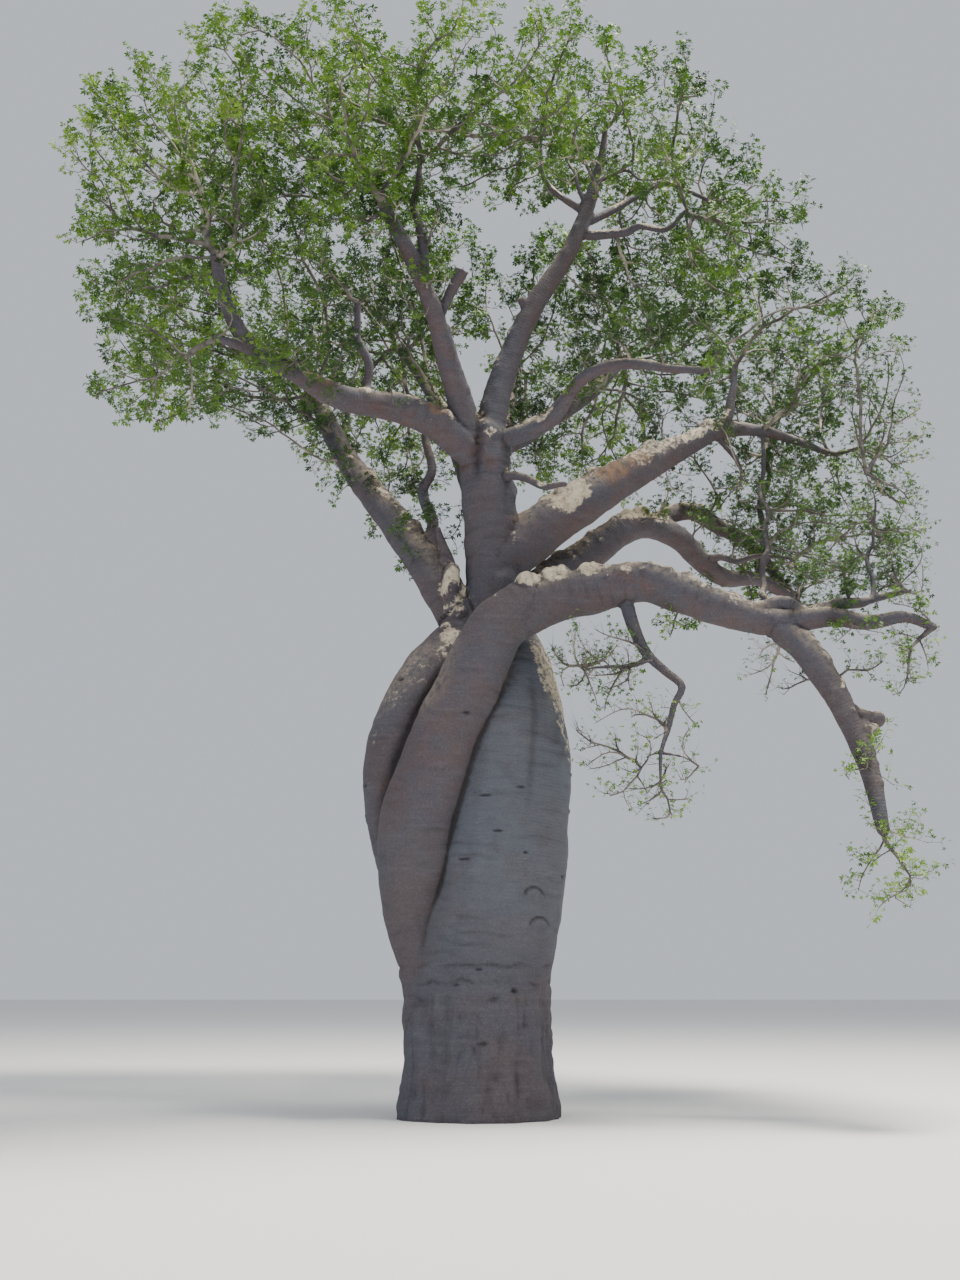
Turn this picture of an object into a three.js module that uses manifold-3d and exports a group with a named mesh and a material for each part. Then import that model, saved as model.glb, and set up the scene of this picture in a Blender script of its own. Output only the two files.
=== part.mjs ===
// A baobab tree with a stout, bottle-shaped trunk of stems that wind round each other, a few thick boughs, and
// an open umbrella crown. Millimetres, +Z up, X to the right and +Y away as seen from the front. The origin is
// the centre of the flat cut at ground level. Places and radii are written in metres and scaled once, by METRE.
import * as THREE from "three";
import { mergeVertices } from "three/addons/utils/BufferGeometryUtils.js";
import Module from "manifold-3d";

const wasm = await Module();
wasm.setup();

const METRE = 1000;

// Driving dimensions, in metres.
const BASE_RADIUS = 1.0; // the trunk just above its root flare
const FLARE_HEIGHT = 0.9; // the roots swell out below this
const FLARE_REACH = 0.09; // how far the root flare stands out at the ground
const FLARE_LOBES = 7;
const BELOW_GROUND = 0.4; // stems start this far down, and the ground cut takes it off
const CROWN_TOP = 16.0; // no spray is higher
const CROWN_HALF_WIDTH = 6.7; // from the trunk's axis to the furthest spray at each side
const BULGE_HEIGHT = 4.3; // the widest part of the bottle
const NECK_HEIGHT = 6.95; // the stems part here
const FORK_HEIGHT = 9.6; // the central stem forks here

// Mesh settings.
const STEM_SIDES = 16;
const STEM_RINGS = 18;
const BOUGH_SIDES = 8;
const RINGS_PER_METRE = 1.25;
const FEWEST_RINGS = 4;
const FOLIAGE_DETAIL = 1;
const LIMB_GAP = 0.003; // left between two limbs that meet
const FOLIAGE_GAP = 0.02; // left round each mass of foliage

const BARK = { color: 0x7d6a62, roughness: 0.9, metalness: 0 };
const LEAVES = { color: 0x5f8a32, roughness: 0.8, metalness: 0 };

// The stems that the trunk is fused from: x, y, z and radius at each station.
const STEMS = {
  right: [
    [0.0, 0.05, -BELOW_GROUND, BASE_RADIUS],
    [-0.02, 0.05, 1.0, 0.98 * BASE_RADIUS],
    [0.0, 0.05, 1.83, 0.96 * BASE_RADIUS],
    [0.12, 0.05, 2.5, 0.95],
    [0.24, 0.05, 3.3, 0.95],
    [0.33, 0.05, BULGE_HEIGHT, 0.94],
    [0.4, 0.05, 5.05, 0.88],
    [0.47, 0.06, 5.6, 0.73],
    [0.49, 0.1, 6.06, 0.54],
    [0.4, 0.2, 6.5, 0.43],
    [0.28, 0.3, NECK_HEIGHT, 0.43],
  ],
  crossing: [
    [-0.46, -0.22, -BELOW_GROUND, 0.57],
    [-0.5, -0.2, 1.0, 0.54],
    [-0.66, -0.12, 1.8, 0.38],
    [-0.9, -0.14, 2.5, 0.37],
    [-0.9, -0.31, 3.2, 0.5],
    [-0.84, -0.42, 3.9, 0.54],
    [-0.64, -0.49, 4.5, 0.53],
    [-0.42, -0.53, 5.1, 0.5],
    [-0.17, -0.57, 5.6, 0.48],
    [0.02, -0.6, 6.1, 0.44],
    [0.24, -0.61, 6.52, 0.41],
    [0.63, -0.62, 6.84, 0.37],
  ],
  left: [
    [-0.4, 0.35, -BELOW_GROUND, 0.57],
    [-0.42, 0.35, 1.0, 0.55],
    [-0.45, 0.33, 1.8, 0.52],
    [-0.72, 0.3, 2.8, 0.52],
    [-0.98, 0.25, 3.65, 0.54],
    [-1.1, 0.12, BULGE_HEIGHT, 0.53],
    [-1.06, 0.07, 5.0, 0.53],
    [-0.84, 0.06, 5.62, 0.5],
    [-0.62, 0.12, 6.06, 0.46],
    [-0.38, 0.24, 6.46, 0.4],
    [-0.24, 0.33, 6.85, 0.34],
  ],
  rear: [
    [-0.08, 0.3, -BELOW_GROUND, 0.8],
    [-0.08, 0.3, 1.0, 0.78],
    [-0.06, 0.3, 1.83, 0.74],
    [0.0, 0.42, 2.8, 0.8],
    [0.04, 0.5, BULGE_HEIGHT, 0.85],
    [0.1, 0.46, 5.1, 0.8],
    [0.16, 0.42, 5.7, 0.66],
    [0.2, 0.4, 6.2, 0.5],
    [0.22, 0.36, NECK_HEIGHT, 0.38],
  ],
};

// Every bough: the places that its middle passes, and its radii at even shares of its length.
const BOUGHS = {
  central_stem: {
    through: [[0.28, 0.3, NECK_HEIGHT], [0.2, 0.3, 7.8], [0.12, 0.2, 8.7], [0.03, 0.08, FORK_HEIGHT]],
    radii: [0.43, 0.38],
  },
  lower_right_bough: {
    through: [[0.63, -0.62, 6.84], [1.12, -0.6, 6.97], [1.68, -0.6, 7.08], [2.28, -0.65, 7.19]],
    radii: [0.37, 0.31],
  },
  lower_right_bough_outer: {
    through: [[2.28, -0.65, 7.19], [2.79, -0.7, 7.0], [3.32, -0.8, 6.76], [3.84, -0.9, 6.56],
      [4.15, -0.98, 6.48]],
    radii: [0.31, 0.2],
  },
  lower_right_bough_tip: {
    through: [[4.15, -0.98, 6.48], [4.76, -1.1, 6.55], [5.27, -1.2, 6.45], [5.71, -1.3, 6.5],
      [6.05, -1.4, 6.33]],
    radii: [0.17, 0.06],
  },
  drooping_bough: {
    through: [[4.05, -0.95, 6.48], [4.39, -1.1, 6.09], [4.8, -1.3, 5.27], [5.03, -1.5, 4.46],
      [5.12, -1.68, 3.6]],
    radii: [0.2, 0.19, 0.165, 0.135, 0.09],
  },
  hanging_branch_upper: {
    through: [[2.02, -0.62, 6.95], [2.16, -0.7, 6.43], [2.3, -0.8, 6.09], [2.52, -0.9, 5.84],
      [2.73, -1.0, 5.6]],
    radii: [0.11, 0.08, 0.057],
  },
  hanging_branch_lower: {
    through: [[2.73, -1.0, 5.6], [2.62, -1.0, 5.38], [2.53, -1.0, 5.05], [2.4, -1.1, 4.67],
      [2.38, -1.1, 4.3]],
    radii: [0.057, 0.042, 0.025],
  },
  middle_right_bough: {
    through: [[0.5, 0.55, 7.1], [1.21, 0.9, 7.75], [1.69, 1.1, 8.14], [2.18, 1.3, 8.57], [2.6, 1.5, 8.74]],
    radii: [0.33, 0.25],
  },
  middle_right_bough_outer: {
    through: [[2.6, 1.5, 8.74], [3.1, 1.7, 8.62], [3.51, 1.9, 8.29], [3.89, 2.1, 8.06], [4.56, 2.4, 8.1],
      [5.21, 2.7, 7.79]],
    radii: [0.25, 0.08],
  },
  rear_right_bough: {
    through: [[2.72, 1.62, 8.8], [3.38, 1.95, 9.13], [3.92, 2.3, 8.96], [4.46, 2.6, 8.76], [5.32, 3.2, 7.92]],
    radii: [0.17, 0.07],
  },
  upper_right_bough: {
    through: [[0.3, 0.28, 7.75], [1.01, 0.35, 8.35], [1.88, 0.45, 8.97], [3.06, 0.6, 9.68], [3.67, 0.7, 9.99],
      [4.4, 0.92, 10.08], [5.56, 1.4, 9.9]],
    radii: [0.39, 0.36, 0.225, 0.1, 0.05],
  },
  inner_right_bough: {
    through: [[0.15, 0.05, 9.55], [0.72, -0.2, 9.62], [1.05, -0.4, 9.74], [1.44, -0.8, 10.15]],
    radii: [0.14, 0.1],
  },
  inner_right_bough_outer: {
    through: [[1.44, -0.8, 10.15], [1.8, -1.0, 10.27], [2.22, -1.3, 10.18], [2.63, -1.6, 9.97],
      [3.14, -1.9, 9.8]],
    radii: [0.1, 0.05],
  },
  centre_right_bough: {
    through: [[0.12, 0.08, 9.62], [0.3, 0.05, 10.46], [0.76, -0.05, 11.6], [1.41, -0.15, 12.67],
      [1.85, -0.3, 13.97], [1.95, -0.4, 14.6]],
    radii: [0.25, 0.185, 0.145, 0.115, 0.04],
  },
  centre_right_bough_left_fork: {
    through: [[1.55, -0.2, 13.3], [1.1, -0.3, 13.55], [0.96, -0.4, 13.74], [0.93, -0.5, 14.3]],
    radii: [0.065, 0.03],
  },
  centre_right_bough_right_fork: {
    through: [[1.66, -0.15, 13.1], [2.14, 0.0, 13.42], [2.58, 0.1, 13.76], [2.87, 0.2, 13.98],
      [3.6, 0.4, 13.8]],
    radii: [0.075, 0.035],
  },
  centre_left_bough: {
    through: [[-0.1, 0.0, 9.5], [-0.37, -0.4, 10.26], [-0.7, -1.2, 11.15], [-0.96, -1.6, 11.66],
      [-1.35, -1.9, 12.3]],
    radii: [0.25, 0.18, 0.15, 0.125, 0.09],
  },
  broken_stub: {
    through: [[-0.6, -0.95, 11.0], [-0.42, -1.1, 11.4], [-0.26, -1.2, 11.7]],
    radii: [0.085, 0.075, 0.08, 0.115],
  },
  upper_left_bough: {
    through: [[-0.05, 0.0, 9.3], [-0.63, -0.3, 9.69], [-1.09, -0.5, 9.83], [-2.05, -1.1, 9.8],
      [-2.91, -1.6, 10.13], [-3.6, -2.0, 10.25]],
    radii: [0.27, 0.1],
  },
  upper_left_bough_upturn: {
    through: [[-3.2, -1.78, 10.18], [-3.4, -1.9, 10.58], [-3.54, -2.0, 10.95], [-3.63, -2.1, 11.4]],
    radii: [0.13, 0.08],
  },
  lower_left_bough: {
    through: [[-0.24, 0.36, 6.87], [-0.64, 0.52, 7.54], [-1.31, 1.1, 8.64], [-2.14, 1.9, 9.95],
      [-2.76, 2.6, 11.3]],
    radii: [0.32, 0.15],
  },
  rear_left_bough: {
    through: [[0.08, 0.45, 8.0], [-0.1, 1.2, 9.1], [-0.45, 2.2, 10.5], [-1.0, 3.2, 12.0], [-1.4, 3.8, 12.8]],
    radii: [0.19, 0.1],
  },
  rear_centre_bough: {
    through: [[0.12, 0.25, 9.2], [0.28, 1.2, 10.1], [0.45, 2.3, 11.1], [0.6, 3.3, 12.2]],
    radii: [0.2, 0.11],
  },
  rear_right_upper_bough: {
    through: [[0.15, 0.15, 9.5], [0.95, 1.3, 10.35], [1.9, 2.6, 11.5], [2.5, 3.6, 12.5]],
    radii: [0.19, 0.1],
  },
};

// Every mass of foliage: its middle, and its mean half sizes along X, Y and Z.
const CROWN_MID_RADIUS = 1.3;
const CROWN_MID_HEIGHT = CROWN_TOP - CROWN_MID_RADIUS;
const FOLIAGE = {
  top_left_outer_foliage: { middle: [-4.85, -1.6, 13.3], half: [1.1, 1.45, 1.35] },
  top_left_foliage: { middle: [-3.3, -2.6, 13.1], half: [1.0, 1.6, 1.35] },
  top_centre_left_foliage: { middle: [-1.75, -3.0, 13.1], half: [1.0, 1.6, 1.3] },
  top_centre_foliage: { middle: [-0.3, -2.9, 13.3], half: [0.95, 1.55, 1.05] },
  top_centre_right_foliage: { middle: [1.15, -2.3, 13.8], half: [1.0, 1.5, 1.3] },
  top_right_foliage: { middle: [2.6, -1.5, 13.8], half: [0.95, 1.35, 1.1] },
  summit_left_foliage: { middle: [-3.7, 0.6, 14.0], half: [1.5, 1.6, CROWN_MID_RADIUS] },
  summit_centre_left_foliage: { middle: [-1.4, 0.3, CROWN_MID_HEIGHT], half: [1.3, 1.6, CROWN_MID_RADIUS] },
  summit_centre_foliage: { middle: [0.9, 0.7, CROWN_TOP - 1.1], half: [1.2, 1.5, 1.1] },
  summit_right_foliage: { middle: [3.3, 1.0, 14.1], half: [1.4, 1.4, 1.1] },
  rear_left_outer_foliage: { middle: [-5.0, 2.0, 12.3], half: [1.4, 1.6, 1.5] },
  rear_left_foliage: { middle: [-3.0, 3.4, 13.0], half: [1.4, 1.5, 1.5] },
  rear_centre_left_foliage: { middle: [-0.8, 3.4, 13.7], half: [1.4, 1.5, 1.4] },
  rear_centre_right_foliage: { middle: [1.6, 3.5, 13.6], half: [1.3, 1.5, 1.4] },
  rear_right_foliage: { middle: [3.8, 3.4, 12.8], half: [1.4, 1.5, 1.4] },
  far_rear_left_foliage: { middle: [-1.9, 5.2, 11.9], half: [1.8, 1.2, 1.5] },
  far_rear_right_foliage: { middle: [1.9, 5.3, 11.8], half: [1.8, 1.2, 1.5] },
  rear_right_outer_foliage: { middle: [5.2, 2.6, 11.3], half: [1.2, 1.5, 1.4] },
  right_shoulder_foliage: { middle: [3.85, -1.0, 12.15], half: [1.05, 1.35, 1.05] },
  right_outer_foliage: { middle: [5.15, -0.6, 10.85], half: [0.98, 1.4, 1.2] },
  far_right_foliage: { middle: [CROWN_HALF_WIDTH - 0.6, 0.4, 9.6], half: [0.6, 1.2, 1.35] },
  right_middle_foliage: { middle: [5.0, 2.0, 9.0], half: [1.3, 1.0, 0.85] },
  inner_right_foliage: { middle: [2.7, 0.9, 12.3], half: [1.2, 1.2, 1.0] },
  between_right_boughs_foliage: { middle: [3.3, 2.2, 10.7], half: [1.0, 1.0, 0.8] },
  lower_right_foliage: { middle: [5.65, -0.3, 7.6], half: [0.85, 0.95, 0.7] },
  left_outer_foliage: { middle: [-5.05, -1.0, 11.7], half: [1.0, 1.5, 1.15] },
  left_inner_foliage: { middle: [-3.35, -2.0, 11.75], half: [0.85, 1.0, 0.75] },
  centre_left_foliage: { middle: [-2.0, -1.7, 11.8], half: [0.8, 1.1, 1.0] },
  left_low_foliage: { middle: [-4.7, -0.3, 10.3], half: [1.05, 1.2, 0.75] },
  left_rear_low_foliage: { middle: [-3.5, 1.6, 11.0], half: [1.0, 1.1, 0.9] },
  behind_centre_left_foliage: { middle: [-1.6, 1.5, 12.4], half: [0.95, 1.0, 1.0] },
  hanging_branch_foliage: { middle: [1.65, -0.72, 5.9], half: [0.68, 0.65, 0.5] },
  hanging_tip_foliage: { middle: [2.35, -1.1, 4.15], half: [0.65, 0.6, 0.5] },
  lower_right_hanging_foliage: { middle: [5.7, -1.25, 5.85], half: [0.5, 0.55, 0.6] },
  drooping_tip_foliage: { middle: [5.15, -1.8, 3.1], half: [0.6, 0.7, 0.65] },
};

// How uneven a mass of foliage is, and how many lumps go round it.
const LUMP_DEPTH = 0.2;
const LUMP_WAVES = [[3.1, 1.7, 0.9], [-1.6, 3.4, 2.3], [2.2, -2.6, 3.7]];

const scaled = ([x, y, z]) => new THREE.Vector3(x * METRE, y * METRE, z * METRE);

// A closed mesh as a solid.
function solidFrom(geometry) {
  const merged = mergeVertices(geometry, 1e-3);
  return new wasm.Manifold(
    new wasm.Mesh({
      numProp: 3,
      vertProperties: new Float32Array(merged.attributes.position.array),
      triVerts: new Uint32Array(merged.index.array),
    }),
  );
}

// A solid as a three.js geometry.
function geometryFrom(solid) {
  const { numProp, numVert, vertProperties, triVerts } = solid.getMesh();
  const places = new Float32Array(numVert * 3);
  for (let i = 0; i < numVert; i++) places.set(vertProperties.subarray(i * numProp, i * numProp + 3), i * 3);
  const geometry = new THREE.BufferGeometry();
  geometry.setAttribute("position", new THREE.BufferAttribute(places, 3));
  geometry.setIndex(new THREE.BufferAttribute(new Uint32Array(triVerts), 1));
  geometry.computeVertexNormals();
  return geometry;
}

// The tube along a curve. Its radius at a share t of the way and at an angle round it is radiusAt(t, angle, z).
function sweep(curve, radiusAt, rings, sides) {
  const { normals, binormals } = curve.computeFrenetFrames(rings, false);
  const places = [];
  for (let i = 0; i <= rings; i++) {
    const t = i / rings;
    const middle = curve.getPointAt(t);
    for (let j = 0; j < sides; j++) {
      const angle = (2 * Math.PI * j) / sides;
      const radius = radiusAt(t, angle, middle.z);
      places.push(
        middle.clone()
          .addScaledVector(normals[i], radius * Math.cos(angle))
          .addScaledVector(binormals[i], radius * Math.sin(angle)),
      );
    }
  }
  const startCentre = places.push(curve.getPointAt(0)) - 1;
  const endCentre = places.push(curve.getPointAt(1)) - 1;
  const triangles = [];
  for (let j = 0; j < sides; j++) {
    const next = (j + 1) % sides;
    for (let i = 0; i < rings; i++) {
      const [a, b, c, d] = [i * sides + j, i * sides + next, (i + 1) * sides + next, (i + 1) * sides + j];
      triangles.push(a, b, c, a, c, d);
    }
    triangles.push(startCentre, next, j, endCentre, rings * sides + j, rings * sides + next);
  }
  const geometry = new THREE.BufferGeometry().setFromPoints(places);
  geometry.setIndex(triangles);
  return solidFrom(geometry);
}

// The curve through some places, made longer by grow at both ends.
function lengthenedCurve(places, grow) {
  const points = places.map(scaled);
  const last = points.length - 1;
  const lengthen = (end, inner) => end.clone().sub(inner).setLength(grow * METRE);
  const start = points[0].clone().add(lengthen(points[0], points[1]));
  const end = points[last].clone().add(lengthen(points[last], points[last - 1]));
  return new THREE.CatmullRomCurve3([start, ...points.slice(1, last), end], false, "centripetal");
}

// The value at a share t of the way through some evenly spaced values.
function between(values, t) {
  const place = t * (values.length - 1);
  const i = Math.min(Math.floor(place), values.length - 2);
  return THREE.MathUtils.lerp(values[i], values[i + 1], place - i);
}

// One stem of the trunk, its radii made larger by grow. They are spaced by its stations, not by its length.
function stemSolid(stations, grow) {
  const curve = lengthenedCurve(stations, grow);
  const radii = stations.map((station) => station[3]);
  const lengths = curve.getLengths(400);
  const total = lengths[lengths.length - 1];
  const radiusAt = (t, angle, z) => {
    const along = lengths.findIndex((length) => length >= t * total) / (lengths.length - 1);
    const flare = Math.max(0, 1 - z / METRE / FLARE_HEIGHT);
    const swell = FLARE_REACH * Math.min(1, flare) ** 2 * (1 + 0.5 * Math.cos(FLARE_LOBES * angle));
    return METRE * (between(radii, along) + swell + grow);
  };
  return sweep(curve, radiusAt, STEM_RINGS, STEM_SIDES);
}

// One tapering bough, its radii made larger by grow.
function boughSolid({ through, radii }, grow) {
  const curve = lengthenedCurve(through, grow);
  const radiusAt = (t) => METRE * (between(radii, t) + grow);
  const rings = Math.max(FEWEST_RINGS, Math.round((curve.getLength() / METRE) * RINGS_PER_METRE));
  return sweep(curve, radiusAt, rings, BOUGH_SIDES);
}

// One mass of foliage: a ball stretched to its half sizes, with lumps that its own number turns.
function foliageSolid({ middle, half }, number, grow) {
  const geometry = new THREE.IcosahedronGeometry(1, FOLIAGE_DETAIL);
  geometry.deleteAttribute("normal");
  geometry.deleteAttribute("uv");
  const position = geometry.attributes.position;
  const direction = new THREE.Vector3();
  for (let i = 0; i < position.count; i++) {
    direction.fromBufferAttribute(position, i);
    const lumps = LUMP_WAVES.map(([x, y, z], wave) =>
      Math.sin(x * direction.x + y * direction.y + z * direction.z + number * (wave + 1.3)));
    const reach = 1 + (LUMP_DEPTH * lumps.reduce((sum, lump) => sum + lump, 0)) / LUMP_WAVES.length;
    const place = half.map((size) => METRE * (size * reach + grow));
    position.setXYZ(i, direction.x * place[0], direction.y * place[1], direction.z * place[2]);
  }
  const at = scaled(middle);
  geometry.translate(at.x, at.y, at.z);
  return solidFrom(geometry);
}

// Of a solid's separate bodies, the one that comes nearest a point.
function nearestBody(solid, point) {
  const distance = (body) => {
    const { numProp, numVert, vertProperties } = body.getMesh();
    let least = Infinity;
    for (let i = 0; i < numVert; i++) {
      const [x, y, z] = vertProperties.subarray(i * numProp, i * numProp + 3);
      least = Math.min(least, Math.hypot(x - point.x, y - point.y, z - point.z));
    }
    return least;
  };
  return solid.decompose().sort((a, b) => distance(a) - distance(b))[0];
}

const cut = (solid, others) => others.reduce((left, other) => left.subtract(other), solid);

const tree = new THREE.Group();

function addPart(name, solid, material) {
  const mesh = new THREE.Mesh(geometryFrom(solid), new THREE.MeshStandardMaterial(material));
  mesh.name = name;
  tree.add(mesh);
}

// The ground cut takes off everything below z = 0.
const groundSize = 40 * METRE;
const ground = new THREE.BoxGeometry(groundSize, groundSize, METRE);
ground.deleteAttribute("normal");
ground.deleteAttribute("uv");
ground.translate(0, 0, -METRE / 2);

const trunkSolid = (grow) => Object.values(STEMS)
  .map((stations) => stemSolid(stations, grow))
  .reduce((whole, stem) => whole.add(stem));

const trunk = trunkSolid(0).subtract(solidFrom(ground));
addPart("trunk", trunk, BARK);

// Masses of foliage are made first, as solids cut from each other, and boughs end where they enter one.
const masses = [];
const grownMasses = [];
Object.entries(FOLIAGE).forEach(([name, mass], number) => {
  const solid = cut(foliageSolid(mass, number, 0), grownMasses);
  masses.push({ name, middle: scaled(mass.middle), solid });
  grownMasses.push(foliageSolid(mass, number, FOLIAGE_GAP));
});

const grownLimbs = [trunkSolid(LIMB_GAP)];
for (const [name, bough] of Object.entries(BOUGHS)) {
  const start = scaled(bough.through[0]);
  const whole = cut(boughSolid(bough, 0), [...grownLimbs, ...grownMasses]);
  const kept = nearestBody(whole, start);
  grownLimbs.push(boughSolid(bough, LIMB_GAP));
  addPart(name, kept, BARK);
}

for (const { name, middle, solid } of masses) addPart(name, nearestBody(solid, middle), LEAVES);

export default tree;
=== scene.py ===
"""A baobab tree: one bark skin over fused stems and boughs, seeded twigs, and palmate leaves in sprays."""
import itertools
import math

import bmesh
import bpy
import numpy as np
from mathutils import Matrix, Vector
from mathutils.bvhtree import BVHTree


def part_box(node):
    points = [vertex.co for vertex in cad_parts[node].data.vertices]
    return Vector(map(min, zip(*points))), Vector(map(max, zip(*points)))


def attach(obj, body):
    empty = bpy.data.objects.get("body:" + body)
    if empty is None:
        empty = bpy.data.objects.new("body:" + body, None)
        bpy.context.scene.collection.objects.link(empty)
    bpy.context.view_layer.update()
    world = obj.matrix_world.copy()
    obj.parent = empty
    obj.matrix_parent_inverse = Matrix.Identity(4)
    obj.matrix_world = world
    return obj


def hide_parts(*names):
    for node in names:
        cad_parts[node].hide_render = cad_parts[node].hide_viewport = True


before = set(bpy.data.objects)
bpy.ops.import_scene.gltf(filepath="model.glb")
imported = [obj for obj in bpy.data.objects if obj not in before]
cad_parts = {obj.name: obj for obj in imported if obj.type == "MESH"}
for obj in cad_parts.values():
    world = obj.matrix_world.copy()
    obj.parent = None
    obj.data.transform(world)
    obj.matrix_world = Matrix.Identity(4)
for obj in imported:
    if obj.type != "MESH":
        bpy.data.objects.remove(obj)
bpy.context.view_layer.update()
rng = np.random.default_rng(20)

FOLIAGE_NODES = sorted(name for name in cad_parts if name.endswith("foliage"))
BARK_NODES = sorted(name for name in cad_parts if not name.endswith("foliage"))

# Heights that the stems and boughs share with the solids, in metres.
BELOW_GROUND = 0.4
BULGE_HEIGHT = 4.3
NECK_HEIGHT = 6.95
FLARE_HEIGHT = 0.9
FLARE_REACH = 0.09

# The stems that the trunk is fused from: x, y, z and radius at each station.
STEMS = {
    "right": [
        (0.0, 0.05, -BELOW_GROUND, 1.0), (-0.02, 0.05, 1.0, 0.98), (0.0, 0.05, 1.83, 0.96),
        (0.12, 0.05, 2.5, 0.95), (0.24, 0.05, 3.3, 0.95), (0.33, 0.05, BULGE_HEIGHT, 0.94),
        (0.4, 0.05, 5.05, 0.88), (0.47, 0.06, 5.6, 0.73), (0.49, 0.1, 6.06, 0.54), (0.4, 0.2, 6.5, 0.43),
        (0.28, 0.3, NECK_HEIGHT, 0.43)],
    "crossing": [
        (-0.46, -0.22, -BELOW_GROUND, 0.57), (-0.5, -0.2, 1.0, 0.54), (-0.66, -0.12, 1.8, 0.38),
        (-0.9, -0.14, 2.5, 0.37), (-0.9, -0.31, 3.2, 0.5), (-0.84, -0.42, 3.9, 0.54),
        (-0.64, -0.49, 4.5, 0.53), (-0.42, -0.53, 5.1, 0.5), (-0.17, -0.57, 5.6, 0.48),
        (0.02, -0.6, 6.1, 0.44), (0.24, -0.61, 6.52, 0.41), (0.63, -0.62, 6.84, 0.37)],
    "left": [
        (-0.4, 0.35, -BELOW_GROUND, 0.57), (-0.42, 0.35, 1.0, 0.55), (-0.45, 0.33, 1.8, 0.52),
        (-0.72, 0.3, 2.8, 0.52), (-0.98, 0.25, 3.65, 0.54), (-1.1, 0.12, BULGE_HEIGHT, 0.53),
        (-1.06, 0.07, 5.0, 0.53), (-0.84, 0.06, 5.62, 0.5), (-0.62, 0.12, 6.06, 0.46),
        (-0.38, 0.24, 6.46, 0.4), (-0.24, 0.33, 6.85, 0.34)],
    "rear": [
        (-0.08, 0.3, -BELOW_GROUND, 0.8), (-0.08, 0.3, 1.0, 0.78), (-0.06, 0.3, 1.83, 0.74),
        (0.0, 0.42, 2.8, 0.8), (0.04, 0.5, BULGE_HEIGHT, 0.85), (0.1, 0.46, 5.1, 0.8),
        (0.16, 0.42, 5.7, 0.66), (0.2, 0.4, 6.2, 0.5), (0.22, 0.36, NECK_HEIGHT, 0.38)],
}

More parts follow.
